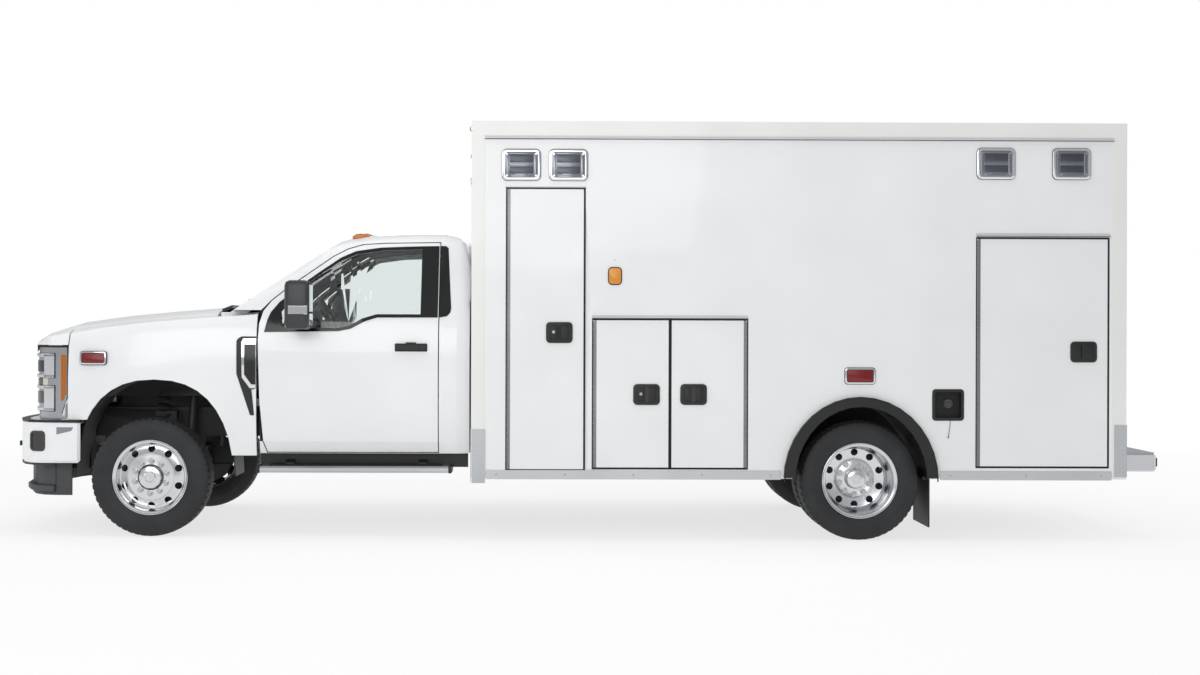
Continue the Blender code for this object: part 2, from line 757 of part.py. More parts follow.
# Door mirrors: a tall housing on an arm from the door's front upper corner
MIRROR = ((0.965, 1.135), (-1.325, -1.115), (1.440, 1.775))
MIRROR_ARM = 0.024


def mirror():
    housing = rounded(box(*MIRROR), 0.035, 2)
    middle = (MIRROR[0][0] + MIRROR[0][1]) / 2
    arms = []
    for z in (1.475, 1.545):
        arms.append(rod((0.93, -0.93, z), (middle, -1.20, z + 0.04), MIRROR_ARM, 10))
    door_side = cab_sides(-0.0009)
    return cut(union(housing, *arms), door_side)


both_sides("mirror", mirror(), "black_plastic", CAB_HINGE)


# Seats on one plinth, and the instrument panel with its column and steering wheel
def seats():
    plinth = box((1.40, 1.86), (-0.66, 0.66), (CAB_FLOOR_TOP + SEAT_GAP, 1.06))
    extras = []
    for side in (-1, 1):
        y = sorted((side * 0.14, side * 0.68))
        extras.append(rounded(box((1.34, 1.90), y, (1.05, 1.22)), 0.03))
        back = [(1.80, 1.10), (1.94, 1.10), (2.07, 1.74), (1.96, 1.74)]
        extras.append(rounded(prism(back, "y", *y), 0.03))
        head = sorted((side * 0.29, side * 0.53))
        extras.append(rounded(box((1.975, 2.065), head, (1.70, 1.92)), 0.03))
    return union(plinth, *extras)


piece("cab_seats", seats(), "seat_cloth")

WHEEL_CENTRE = (1.165, -0.400, 1.500)
WHEEL_LEAN = math.radians(62)
WHEEL_RING = 0.190


def angles_of(count):
    return [2 * math.pi * k / count for k in range(count)]


def dashboard():
    front = CAB_FRONT + CAB_WALL + SEAT_GAP
    panel = [(front, 1.150), (front, 1.455), (0.600, 1.490), (0.750, 1.535), (0.880, 1.525)]
    panel += [(0.965, 1.430), (0.930, 1.260), (0.800, 1.150)]
    body = prism(panel, "y", -0.870, 0.870)
    centre = Vector(WHEEL_CENTRE)
    away = Vector((-math.sin(WHEEL_LEAN), 0, -math.cos(WHEEL_LEAN)))
    column = rod(centre, centre + away * 0.34, 0.035)
    grip = [(WHEEL_RING + 0.014 * math.cos(a), 0.014 * math.sin(a)) for a in angles_of(6)]
    hoop = turned(grip, (0, 0, 0), 20)
    tilt = Vector((0, 1, 0)).rotation_difference(away).to_matrix().to_4x4()
    hoop.data.transform(Matrix.Translation(centre) @ tilt)
    across = Vector((0, 1, 0))
    down = away.cross(across).normalized()
    spokes = []
    for turn in (0.3, 2.84, -1.57):
        tip = centre + (across * math.cos(turn) + down * math.sin(turn)) * WHEEL_RING
        spokes.append(rod(centre + away * 0.004, tip, 0.011, 6))
    return union(body, column, hoop, *spokes)


piece("dashboard", dashboard(), "grey_plastic")

# Hood. Rows along it: X, height at the dome's edge, half width
HOOD_STATIONS = (
    (-0.886, 1.350, 0.700),
    (-0.868, 1.385, 0.760),
    (-0.790, 1.430, 0.790),
    (-0.629, 1.480, 0.805),
    (-0.300, 1.526, 0.825),
    (0.050, 1.560, 0.838),
    (0.425, 1.590, 0.848),
)
# Rows across it: share of the half width, drop below the dome's edge
HOOD_CROWN = ((1.0, 0.050), (0.88, 0.024), (0.62, 0.004), (0.52, 0.0), (0.46, -0.008), (0.0, -0.012))
HOOD_THICKNESS = 0.025
HOOD_HINGE = (0.365, 0.0, 1.549)
HOOD_POST_TOP = 1.5445


def hood_ring(x, z, half):
    top = [(share * half, z - drop) for share, drop in HOOD_CROWN]
    top += [(-y, height) for y, height in reversed(top[:-1])]
    under = [(y, height - HOOD_THICKNESS) for y, height in reversed(top)]
    return [(x, y, height) for y, height in top + under]


# Its front corners, which wrap down over the lamps. Rows: X, then distance out and height of the
# line inside the hood, of the shoulder and of the lower edge
NOSE_TOP = 1.320
CORNER_FOOT = NOSE_TOP + 0.006
CORNER_STATIONS = (
    (-0.864, (0.684, 1.346), (0.735, 1.336), (0.762, CORNER_FOOT)),
    (-0.800, (0.708, 1.396), (0.815, 1.372), (0.852, CORNER_FOOT)),
    (-0.720, (0.716, 1.424), (0.868, 1.392), (0.905, CORNER_FOOT)),
    (-0.602, (0.725, 1.458), (0.892, 1.412), (0.936, CORNER_FOOT)),
)


def hood_corner():
    rings = []
    for x, root, shoulder, foot in CORNER_STATIONS:
        inner_foot = (foot[0] - HOOD_THICKNESS, foot[1])
        inner_shoulder = (shoulder[0] - 0.7 * HOOD_THICKNESS, shoulder[1] - 0.7 * HOOD_THICKNESS)
        inner_root = (root[0], root[1] - 0.4 * HOOD_THICKNESS)
        rings.append([(x, -y, z) for y, z in (root, shoulder, foot, inner_foot, inner_shoulder, inner_root)])
    return loft(rings)


corner = hood_corner()
hood = union(loft([hood_ring(*row) for row in HOOD_STATIONS]), mirrored(corner, True), corner)
piece("hood", hood, "white_paint", HOOD_HINGE)

# Fenders. Rows along one: X, then distance out and height of the flange beside the hood, of
# the shoulder, and of the side's upper, widest and lower lines
FENDER_STATIONS = (
    (-0.594, (0.816, 1.428), (0.895, 1.405), (0.940, 1.320), (0.958, 1.120), (0.962, 0.803)),
    (-0.350, (0.834, 1.466), (0.925, 1.450), (0.980, 1.360), (0.998, 1.130), (1.000, 0.803)),
    (0.000, (0.848, 1.500), (0.940, 1.490), (0.992, 1.410), (1.010, 1.180), (1.010, 0.803)),
    (0.425, (0.858, 1.530), (0.945, 1.522), (0.996, 1.440), (1.014, 1.220), (1.012, 0.803)),
    (0.7245, (0.900, 1.562), (0.952, 1.545), (0.992, 1.450), (1.015, 1.230), (1.008, 0.803)),
)
FENDER_THICKNESS = 0.024
FENDER_FOOT = 0.560
ARCH_CENTRE = (0.015, TYRE_RADIUS)
ARCH_REACH = (0.545, 0.678)
ARCH_SQUARENESS = 2.35
LINER = 0.010


def arch(grow, steps=18, foot=0.0):
    """The front wheel arch's outline, squarer than an ellipse, down to a foot height."""
    points = []
    reach_x, reach_z = ARCH_REACH[0] + grow, ARCH_REACH[1] + grow
    for k in range(steps + 1):
        turn = math.pi * k / steps
        u = math.copysign(abs(math.cos(turn)) ** (2 / ARCH_SQUARENESS), math.cos(turn))
        v = math.sin(turn) ** (2 / ARCH_SQUARENESS)
        points.append((ARCH_CENTRE[0] + reach_x * u, ARCH_CENTRE[1] + reach_z * v))
    if foot:
        points.append((points[-1][0], foot))
        points.insert(0, (points[0][0], foot))
    return points


def fender():
    rings = []
    for x, *line in FENDER_STATIONS:
        outer = [(y, z) for y, z in line] + [(line[-1][0] - 0.030, FENDER_FOOT)]
        inner = [(y - FENDER_THICKNESS, z - 0.4 * FENDER_THICKNESS) for y, z in reversed(outer[1:-1])]
        foot = (outer[-1][0] - FENDER_THICKNESS, FENDER_FOOT)
        ring = outer + [foot] + inner + [(outer[0][0], outer[0][1] - FENDER_THICKNESS)]
        rings.append([(x, -y, z) for y, z in ring])
    body = loft(rings)
    opening = prism(arch(0.0, foot=0.2), "y", -1.2, -0.5)
    corner = box((-1, -0.40), (-1.2, -0.5), (0.2, 0.806))
    return cut(body, opening, corner)


both_sides("fender", fender(), "white_paint")


# Inner aprons, wheel-arch liners and radiator support in one
def inner_fenders():
    support = box((-0.740, -0.700), (-0.612, 0.612), (RAIL_TOP + SEAT_GAP, 1.300))
    ring = arch(LINER + 0.002, 14) + list(reversed(arch(0.002, 14)))
    extras = []
    for side in (-1, 1):
        y = sorted((side * 0.600, side * 0.612))
        extras.append(box((-0.735, CAB_FRONT - SEAT_GAP), y, (0.960, 1.380)))
        extras.append(box((HOOD_HINGE[0] - 0.035, HOOD_HINGE[0]), y, (1.370, HOOD_POST_TOP)))
        reach = sorted((side * 0.606, side * 0.925))
        extras.append(prism(ring, "y", *reach))
        rib = sorted((side * 0.915, side * (1.010 - FENDER_THICKNESS - SEAT_GAP)))
        extras.append(box((0.00, 0.16), rib, (1.0915, 1.0995)))
    return union(support, *extras)


piece("inner_fenders", inner_fenders(), "black_plastic")

# Front end: grille between two lamp blocks, bumper and air dam
NOSE_BOTTOM = 0.8003
GRILLE_HALF = 0.500
GRILLE_TOP = 1.305
# The lamp block's plan: X and distance from the middle
LAMP_PLAN = [(-0.884, 0.5003), (-0.872, 0.700), (-0.830, 0.830), (-0.745, 0.905), (-0.600, 0.940)]
LAMP_PLAN += [(-0.600, 0.880), (-0.700, 0.840), (-0.745, 0.760), (-0.745, 0.5003)]


def lamp():
    block = prism([(x, -y) for x, y in LAMP_PLAN], "z", NOSE_BOTTOM, NOSE_TOP)
    return rounded(block, 0.012, 1, 50)


both_sides("headlamp", lamp(), "silver_paint")


def grille():
    block = box((-0.905, -0.760), (-GRILLE_HALF, GRILLE_HALF), (NOSE_BOTTOM, GRILLE_TOP))
    inner = GRILLE_HALF - 0.05
    slots = []
    for low, high in ((0.85, 0.975), (1.020, 1.100), (1.145, 1.270)):
        slots.append(box((-1, -0.5), (-inner, inner), (low, high)))
    grille_body = cut(block, *slots)
    bars = []
    for k in range(-4, 5):
        y = k * inner / 5
        bars.append(box((-0.86, -0.80), (y - 0.008, y + 0.008), (NOSE_BOTTOM + 0.02, GRILLE_TOP - 0.02)))
    return union(grille_body, *bars)


piece("grille", grille(), "silver_paint")

# Rows of the bumper's plan: X and distance from the middle
BUMPER_PLAN = [(-FRONT_OVERHANG, 0.0), (-1.050, 0.40), (-1.020, 0.62), (-0.950, 0.82), (-0.870, 0.94)]
BUMPER_PLAN += [(-0.740, 0.995), (-0.500, 1.005)]
BUMPER_BOTTOM = 0.505
BUMPER_TOP = 0.800
BUMPER_WALL = 0.020
DAM_BOTTOM = 0.270


def plan_loop(rows, grow, back):
    half = [(x + grow, y - grow) for x, y in rows[1:]]
    half = [(rows[0][0] + grow, 0.0)] + half
    half[-1] = (back, half[-1][1])
    left = [(x, -y) for x, y in reversed(half[1:])]
    return left + half


def bumper():
    outer = prism(plan_loop(BUMPER_PLAN, 0.0, -0.500), "z", BUMPER_BOTTOM, BUMPER_TOP)
    outer = rounded(outer, 0.018, 1, 60)
    inner_top = BUMPER_TOP - BUMPER_WALL
    hollow = prism(plan_loop(BUMPER_PLAN, BUMPER_WALL, -0.3), "z", BUMPER_BOTTOM - 0.1, inner_top)
    opened = box((-0.775, 0), (-0.85, 0.85), (0.2, 1.2))
    shell = cut(outer, hollow, opened)
    posts = []
    for side in (-1, 1):
        y = sorted((side * 0.36, side * 0.43))
        posts.append(box((-1.04, FRAME_FRONT - SEAT_GAP), y, (0.66, 0.79)))
    return union(shell, *posts)


piece("front_bumper", bumper(), "white_paint")

# Rows of the air dam's plan: X and distance from the middle
DAM_PLAN = [(-0.985, 0.0), (-0.980, 0.40), (-0.945, 0.60), (-0.875, 0.76), (-0.790, 0.845)]
DAM_PLAN += [(-0.700, 0.870), (-0.590, 0.875)]


def air_dam():
    outer = prism(plan_loop(DAM_PLAN, 0.0, -0.590), "z", DAM_BOTTOM, BUMPER_BOTTOM - SEAT_GAP)
    hollow = prism(plan_loop(DAM_PLAN, 0.016, -0.4), "z", 0.1, 0.9)
    low = cut(outer, hollow)
    shelf = prism(plan_loop(DAM_PLAN, -0.060, -0.700), "z", 0.485, BUMPER_BOTTOM - SEAT_GAP)
    opened = prism(plan_loop(DAM_PLAN, 0.010, -0.4), "z", 0.1, 0.9)
    return union(low, cut(shelf, opened))


piece("front_air_dam", air_dam(), "grey_plastic")

# Running boards on brackets from the frame
BOARD = ((0.748, 2.078), (-1.060, -0.860), (0.447, 0.492))
BOARD_BRACKETS = (0.95, 1.88)


def running_board():
    board = rounded(box(*BOARD), 0.012)
    arms = []
    for x in BOARD_BRACKETS:
        reach = (x - 0.03, x + 0.03)
        arms.append(box(reach, (-0.690, -RAIL_OUTER_Y - SEAT_GAP), (0.700, 0.735)))
        arms.append(box(reach, (-0.690, -0.650), (0.500, 0.730)))
        arms.append(box(reach, (-0.930, -0.655), (0.480, 0.530)))
    return union(board, *arms)


both_sides("running_board", running_board(), "aluminium")


# Module floor, resting on the frame's mounts
INNER_HALF = MODULE_HALF_WIDTH - MODULE_WALL - SEAT_GAP
INSIDE_FRONT = MODULE_FRONT + MODULE_WALL + SEAT_GAP
INSIDE_REAR = MODULE_REAR - MODULE_WALL - SEAT_GAP
FLOOR_TOP = FLOOR_BOTTOM + FLOOR_THICKNESS

# Openings in the walls. Rows: name, front and rear edge behind the front axle, low and high
TALL_DOOR_TOP = MODULE_TOP - 0.467
LEFT_DOORS = (
    ("locker_door_front", 2.478, 2.997, 0.490, TALL_DOOR_TOP),
    ("locker_door_pair_a", 3.069, 3.588, 0.503, 1.510),
    ("locker_door_pair_b", 3.594, 4.113, 0.503, 1.510),
    ("locker_door_rear", 5.701, 6.593, 0.517, 2.075),
)
RIGHT_DOORS = (
    ("kerb_locker_door_front", 2.400, 2.900, 0.490, TALL_DOOR_TOP),
    ("side_entry_door", 2.990, 3.850, 0.520, TALL_DOOR_TOP),
    ("kerb_locker_door_rear", 5.701, 6.593, 0.517, 2.075),
)
# Lockers behind them: front, rear, low, high
TALL_LOCKER_TOP = TALL_DOOR_TOP + 0.020
LEFT_LOCKERS = (
    (2.460, 3.015, 0.465, TALL_LOCKER_TOP),
    (3.050, 4.132, 0.478, 1.530),
    (5.682, 6.612, 0.492, 2.095),
)
RIGHT_LOCKERS = ((2.382, 2.918, 0.465, TALL_LOCKER_TOP), (5.682, 6.612, 0.492, 2.095))
LOCKER_DEPTH = 0.500
LOCKER_WALL = 0.016
STEP_WELL = (2.960, 3.880, 0.490)
SKIRT_GAP = 0.0003
REAR_ARCH_CENTRE = (WHEELBASE - 0.003, TYRE_RADIUS)
REAR_ARCH_REACH = (0.469, 0.528)
FLARE_WIDTH = (0.062, 0.052)
FLARE_OUT = 0.035
HOUSE_INNER = 0.640
HOUSE_WALL = 0.010
HOUSE_FOOT = 0.430
FLARE_FOOT = 0.436
FLARE_LAP = 0.016


def rear_arch(grow_x, grow_z, foot):
    """The wheel opening's outline, wider by these amounts and straight down to the foot."""
    reach = (REAR_ARCH_REACH[0] + grow_x, REAR_ARCH_REACH[1] + grow_z)
    points = arc(REAR_ARCH_CENTRE, reach, 0, 180, 18)
    above = [point for point in points if point[1] > foot]
    (first_x, first_z), (next_x, next_z) = points[:2]
    step = max(0, foot - first_z) / (next_z - first_z) * (first_x - next_x)
    return [(first_x - step, foot)] + above + [(points[-1][0] + step, foot)]


def floor_slab():
    slab = box((INSIDE_FRONT, INSIDE_REAR), (-INNER_HALF, INNER_HALF), (FLOOR_BOTTOM, FLOOR_TOP))
    cuts = []
    for rows, side in ((LEFT_LOCKERS, -1), (RIGHT_LOCKERS, 1)):
        for front, rear, low, high in rows:
            y = sorted((side * (MODULE_HALF_WIDTH - LOCKER_DEPTH - SEAT_GAP), side * 2))
            cuts.append(box((front - SEAT_GAP, rear + SEAT_GAP), y, (0, 3)))
    front, rear, low = STEP_WELL
    y = (MODULE_HALF_WIDTH - LOCKER_DEPTH - SEAT_GAP, 2)
    cuts.append(box((front - SEAT_GAP, rear + SEAT_GAP), y, (0, 3)))
    return cut(slab, *cuts)


piece("module_floor", floor_slab(), "aluminium")


def side_wall(side, doors, lockers):
    outer = side * MODULE_HALF_WIDTH
    inner = side * (MODULE_HALF_WIDTH - MODULE_WALL)
    wall = box((MODULE_FRONT, MODULE_REAR), sorted((inner, outer)), (MODULE_BOTTOM, WALL_TOP - SEAT_GAP))
    blocks = []
    hollows = []
    back = side * (MODULE_HALF_WIDTH - LOCKER_DEPTH)
    face = side * (MODULE_HALF_WIDTH - MODULE_WALL / 2)
    for front, rear, low, high in lockers:
        blocks.append(box((front, rear), sorted((back, face)), (low, high)))
        inside = side * (MODULE_HALF_WIDTH - LOCKER_DEPTH + LOCKER_WALL)
        mouth = side * (MODULE_HALF_WIDTH - PANEL_THICKNESS - 0.002)
        y = sorted((inside, mouth))
        reach = (front + LOCKER_WALL, rear - LOCKER_WALL)
        hollows.append(box(reach, y, (low + LOCKER_WALL, high - LOCKER_WALL)))
    for name, front, rear, low, high in doors:
        y = sorted((side * (MODULE_HALF_WIDTH - MODULE_WALL - 0.02), side * 2))
        gap = PANEL_GAP
        hollows.append(box((front - gap, rear + gap), y, (low - gap, high + gap)))
    opening = prism(rear_arch(0, 0, 0.2), "y", -2, 2)
    hollows.append(opening)
    return wall, blocks, hollows


# Fuel filler pocket in the left wall: front, rear, low, high, depth
FILLER = (5.395, 5.602, 0.834, 1.039, 0.042)


def left_wall():
    wall, blocks, hollows = side_wall(-1, LEFT_DOORS, LEFT_LOCKERS)
    front, rear, low, high, depth = FILLER
    hollows.append(box((front, rear), (-2, -(MODULE_HALF_WIDTH - depth)), (low, high)))
    return cut(union(wall, *blocks), *hollows)


def right_wall():
    wall, blocks, hollows = side_wall(1, RIGHT_DOORS, RIGHT_LOCKERS)
    front, rear, low = STEP_WELL
    back = MODULE_HALF_WIDTH - LOCKER_DEPTH
    face = MODULE_HALF_WIDTH - MODULE_WALL / 2
    blocks.append(box((front, rear), (back, face), (low, FLOOR_TOP)))
    reach = (front + LOCKER_WALL, rear - LOCKER_WALL)
    depth = (back + LOCKER_WALL, MODULE_HALF_WIDTH - MODULE_WALL + 0.001)
    hollows.append(box(reach, depth, (low + LOCKER_WALL, FLOOR_TOP + 0.01)))
    return cut(union(wall, *blocks), *hollows)


piece("module_left_wall", left_wall(), "white_paint")
piece("module_right_wall", right_wall(), "white_paint")

# Front wall with the pass-through window, rear wall with the entry doorway
PASS = ((-0.36, 0.36), (1.46, 1.88))
DOORWAY_HALF = 0.640
DOORWAY_LOW = FLOOR_TOP + 0.012
DOORWAY_HIGH = MODULE_TOP - 0.272
FRONT_SKIRT = 0.700


def front_wall():
    x = (MODULE_FRONT, MODULE_FRONT + MODULE_WALL)
    wall = box(x, (-INNER_HALF, INNER_HALF), (MODULE_BOTTOM, WALL_TOP - SEAT_GAP))
    under = box((0, 9), (-FRONT_SKIRT, FRONT_SKIRT), (0, FLOOR_BOTTOM - 0.02))
    return cut(wall, box((0, 9), *PASS), under)


piece("module_front_wall", front_wall(), "white_paint")


def rear_wall():
    x = (MODULE_REAR - MODULE_WALL, MODULE_REAR)
    wall = box(x, (-INNER_HALF, INNER_HALF), (MODULE_BOTTOM + 0.22, WALL_TOP - SEAT_GAP))
    reach = DOORWAY_HALF + PANEL_GAP
    doorway = box((0, 9), (-reach, reach), (DOORWAY_LOW - PANEL_GAP, DOORWAY_HIGH + PANEL_GAP))
    return cut(wall, doorway)


piece("module_rear_wall", rear_wall(), "white_paint")

roof = box((MODULE_FRONT, MODULE_REAR), (-MODULE_HALF_WIDTH, MODULE_HALF_WIDTH), (WALL_TOP, MODULE_TOP))
piece("module_roof", rounded(roof, 0.012, 1, 60), "white_paint")


# Module doors: a panel in its opening, and along one edge the hinge's barrel
def panel(front, rear, low, high, side, hinge_front):
    """A side door: its shape and its hinge line as (X, distance out)."""
    outer = side * MODULE_HALF_WIDTH
    inner = side * (MODULE_HALF_WIDTH - PANEL_THICKNESS)
    slab = box((front, rear), sorted((inner, outer)), (low, high))
    x = front - PANEL_GAP / 2 if hinge_front else rear + PANEL_GAP / 2
    edge = front + 0.004 if hinge_front else rear - 0.004
    barrel_rod = rod((x, outer, low), (x, outer, high), HINGE_RADIUS, 8)
    web_y = sorted((outer - side * 0.0014, outer))
    web = box(sorted((x, edge)), web_y, (low, high))
    return union(slab, barrel_rod, web), (x, outer, (low + high) / 2)


SIDE_WINDOW = (TALL_DOOR_TOP - 0.905, TALL_DOOR_TOP - 0.305)

for row in LEFT_DOORS:
    door, hinge = panel(*row[1:], -1, not row[0].endswith("pair_b"))
    piece(row[0], door, "white_paint", hinge)
for row in RIGHT_DOORS:
    door, hinge = panel(*row[1:], 1, True)
    if row[0] == "side_entry_door":
        through = (MODULE_HALF_WIDTH - 0.2, MODULE_HALF_WIDTH + 0.2)
        window = ((row[1] + 0.16, row[2] - 0.16), through, SIDE_WINDOW)
        door = cut(door, box(*window))
        x, y, z = window
        depth = (MODULE_HALF_WIDTH - 0.020, MODULE_HALF_WIDTH - 0.014)
        gap = SEAT_GAP
        glass = box((x[0] + gap, x[1] - gap), depth, (z[0] + gap, z[1] - gap))
        piece("side_entry_glass", glass, "clear_glass", hinge)
    piece(row[0], door, "white_paint", hinge)

REAR_WINDOW = ((0.130, DOORWAY_HALF - 0.130), (DOORWAY_HIGH - 1.050, DOORWAY_HIGH - 0.350))
LEAF_GAP = 0.003


def rear_door():
    face = MODULE_REAR
    y = (-DOORWAY_HALF, -LEAF_GAP)
    slab = box((face - PANEL_THICKNESS, face), y, (DOORWAY_LOW, DOORWAY_HIGH))
    window = (-REAR_WINDOW[0][1], -REAR_WINDOW[0][0])
    slab = cut(slab, box((0, 9), window, REAR_WINDOW[1]))
    hinge_y = -(DOORWAY_HALF + PANEL_GAP / 2)
    barrel_rod = rod((face, hinge_y, DOORWAY_LOW), (face, hinge_y, DOORWAY_HIGH), HINGE_RADIUS, 8)
    web = box((face - 0.0014, face), (hinge_y, -DOORWAY_HALF + 0.004), (DOORWAY_LOW, DOORWAY_HIGH))
    return union(slab, barrel_rod, web)


def rear_glass():
    gap = SEAT_GAP
    y = (-REAR_WINDOW[0][1] + gap, -REAR_WINDOW[0][0] - gap)
    z = (REAR_WINDOW[1][0] + gap, REAR_WINDOW[1][1] - gap)
    return box((MODULE_REAR - 0.020, MODULE_REAR - 0.014), y, z)


REAR_HINGE = (MODULE_REAR, DOORWAY_HALF + PANEL_GAP / 2, (DOORWAY_LOW + DOORWAY_HIGH) / 2)
both_sides("rear_door", rear_door(), "white_paint", REAR_HINGE)
both_sides("rear_door_glass", rear_glass(), "clear_glass", REAR_HINGE)

# Rear wheelhouses: liner, rubber flare and mud flap
FLAP = ((5.378, 5.388), (-1.160, -0.690), (0.090, 0.424))
FLAP_BAR = ((5.340, 5.384), (-1.150, -0.702), (0.416, 0.4395))


def wheelhouse():
    outer_y = -MODULE_HALF_WIDTH
    inside = -SKIRT_GAP - HOUSE_WALL
    ring = rear_arch(-SKIRT_GAP, -SKIRT_GAP, HOUSE_FOOT) + rear_arch(inside, inside, HOUSE_FOOT)[::-1]
    liner = prism(ring, "y", outer_y - FLARE_OUT / 2, -HOUSE_INNER)
    lip = rear_arch(*FLARE_WIDTH, FLARE_FOOT) + rear_arch(-FLARE_LAP, -FLARE_LAP, FLARE_FOOT)[::-1]
    flare = prism(lip, "y", outer_y - FLARE_OUT, outer_y - SEAT_GAP)
    return union(liner, flare, box(*FLAP), box(*FLAP_BAR))


both_sides("rear_wheelhouse", wheelhouse(), "rubber")

# Rear step on two arms from the frame's rails
STEP = ((MODULE_REAR + 0.035, VEHICLE_REAR - 0.030), (-1.080, 1.080), (0.470, 0.600))
BUFFER_Y = 0.95


def rear_step():
    tread = rounded(box(*STEP), 0.015)
    extras = []
    for side in (-1, 1):
        arm = sorted((side * 0.355, side * 0.425))
        extras.append(box((FRAME_REAR - 0.24, STEP[0][0] + 0.02), arm, (0.520, 0.640)))
        extras.append(box((FRAME_REAR - 0.24, FRAME_REAR - 0.04), arm, (0.60, RAIL_BOTTOM - SEAT_GAP)))
        buffer = sorted((side * (BUFFER_Y - 0.06), side * (BUFFER_Y + 0.06)))
        extras.append(box((STEP[0][1] - 0.01, VEHICLE_REAR), buffer, (0.500, 0.560)))
    return union(tread, *extras)


piece("rear_step", rear_step(), "aluminium")
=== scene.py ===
"""Looks of a box-module ambulance on a chassis cab truck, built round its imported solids.

Metres, +Z up, the front towards -X and the vehicle's left side towards -Y. As in the part's
source, X below counts backwards from the front axle, and build() sets it into the shared frame.
"""

import json
import math

import bmesh
import bpy
from mathutils import Euler, Matrix, Vector
from mathutils.bvhtree import BVHTree

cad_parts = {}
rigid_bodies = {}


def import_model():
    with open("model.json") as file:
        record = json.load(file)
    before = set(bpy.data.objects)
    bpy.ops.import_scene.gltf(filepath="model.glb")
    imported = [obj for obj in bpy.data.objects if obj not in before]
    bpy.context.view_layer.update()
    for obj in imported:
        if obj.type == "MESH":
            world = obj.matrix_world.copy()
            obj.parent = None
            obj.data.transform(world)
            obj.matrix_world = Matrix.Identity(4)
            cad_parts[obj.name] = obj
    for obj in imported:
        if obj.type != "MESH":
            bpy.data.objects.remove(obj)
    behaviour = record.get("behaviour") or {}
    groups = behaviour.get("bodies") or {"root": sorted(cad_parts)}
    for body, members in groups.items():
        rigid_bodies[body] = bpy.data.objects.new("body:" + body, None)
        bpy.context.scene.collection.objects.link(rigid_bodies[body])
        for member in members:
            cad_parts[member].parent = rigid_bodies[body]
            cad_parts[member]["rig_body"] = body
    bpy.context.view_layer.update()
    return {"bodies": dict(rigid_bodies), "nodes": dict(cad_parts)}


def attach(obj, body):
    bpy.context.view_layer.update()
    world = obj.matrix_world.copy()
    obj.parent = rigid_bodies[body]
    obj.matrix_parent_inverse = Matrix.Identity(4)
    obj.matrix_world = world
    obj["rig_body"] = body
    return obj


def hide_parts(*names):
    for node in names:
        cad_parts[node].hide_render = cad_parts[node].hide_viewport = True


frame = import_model()

# Studio: a pale floor and backdrop that read white to the camera, with broad soft lamps.
# The camera stands where the photograph was taken, square to the vehicle's left side.
AXLE_X = -2.981
CAMERA_PLACE = (-0.2106, -12.4288, 1.4532)
CAMERA_YAW = math.radians(-0.56)
CAMERA_ROLL = 0.0032
CAMERA_LENS = 49.163
CAMERA_SENSOR = 36
CAMERA_SHIFT = (0.02805, -0.0076)
FLOOR_RADIUS = 40
# Near the middle the floor glows less than white and keeps the shadow; it turns white between
# these two distances.
FLOOR_GLOW = 0.74
FLOOR_FADE = (3.5, 11.0)


def linear(code):
    """An sRGB hex value as a linear colour with alpha."""
    parts = [int(code[k : k + 2], 16) / 255 for k in (0, 2, 4)]
    turned = [c / 12.92 if c <= 0.04045 else ((c + 0.055) / 1.055) ** 2.4 for c in parts]
    return (*turned, 1.0)


def add(tree, kind, links=(), **settings):
    """A node with its settings. Links are (own input, other node, other output)."""
    node = tree.nodes.new(kind)
    for name, value in settings.items():
        if hasattr(node, name):
            setattr(node, name, value)
        else:
            node.inputs[name.replace("_", " ")].default_value = value
    for own, other, output in links:
        tree.links.new(other.outputs[output], node.inputs[own])
    return node


def blank_material(name):
    """A new material and its empty tree."""
    material = bpy.data.materials.new(name)
    material.use_nodes = True
    material.node_tree.nodes.clear()
    return material, material.node_tree


def surfaced(material, shader):
    """The material, with a shader as its surface."""
    add(material.node_tree, "ShaderNodeOutputMaterial", [("Surface", shader, 0)])
    return material


def studio_material(name, colour, glow):
    """A matt surface that the camera, metal and glass see brighter than the lamps leave it."""
    material, tree = blank_material(name)
    matt = add(tree, "ShaderNodeBsdfDiffuse", Color=linear(colour))
    light = add(tree, "ShaderNodeEmission", Color=linear("FFFFFF"), Strength=1.0)
    ray = add(tree, "ShaderNodeLightPath")
    rays = [(0, ray, "Is Camera Ray"), (1, ray, "Is Glossy Ray")]
    seen = add(tree, "ShaderNodeMath", rays, operation="MAXIMUM")
    rays = [(0, seen, 0), (1, ray, "Is Transmission Ray")]
    through = add(tree, "ShaderNodeMath", rays, operation="MAXIMUM")
    place = add(tree, "ShaderNodeTexCoord")
    away = add(tree, "ShaderNodeVectorMath", [(0, place, "Object")], operation="LENGTH")
    near, far = FLOOR_FADE
    fade = add(
        tree,
        "ShaderNodeMapRange",
        [("Value", away, "Value")],
        From_Min=near,
        From_Max=far,
        To_Min=glow,
        To_Max=1.0,
    )
    share = add(tree, "ShaderNodeMath", [(0, through, 0), (1, fade, 0)], operation="MULTIPLY")
    mix = add(tree, "ShaderNodeMixShader", [(0, share, 0), (1, matt, 0), (2, light, 0)])
    return surfaced(material, mix)


floor_mesh = bmesh.new()
bmesh.ops.create_circle(floor_mesh, cap_ends=True, segments=64, radius=FLOOR_RADIUS)
floor_data = bpy.data.meshes.new("studio_floor")
floor_mesh.to_mesh(floor_data)
floor = bpy.data.objects.new("studio_floor", floor_data)
bpy.context.scene.collection.objects.link(floor)
floor_data.materials.append(studio_material("matt_studio_floor", "F4F4F4", FLOOR_GLOW))

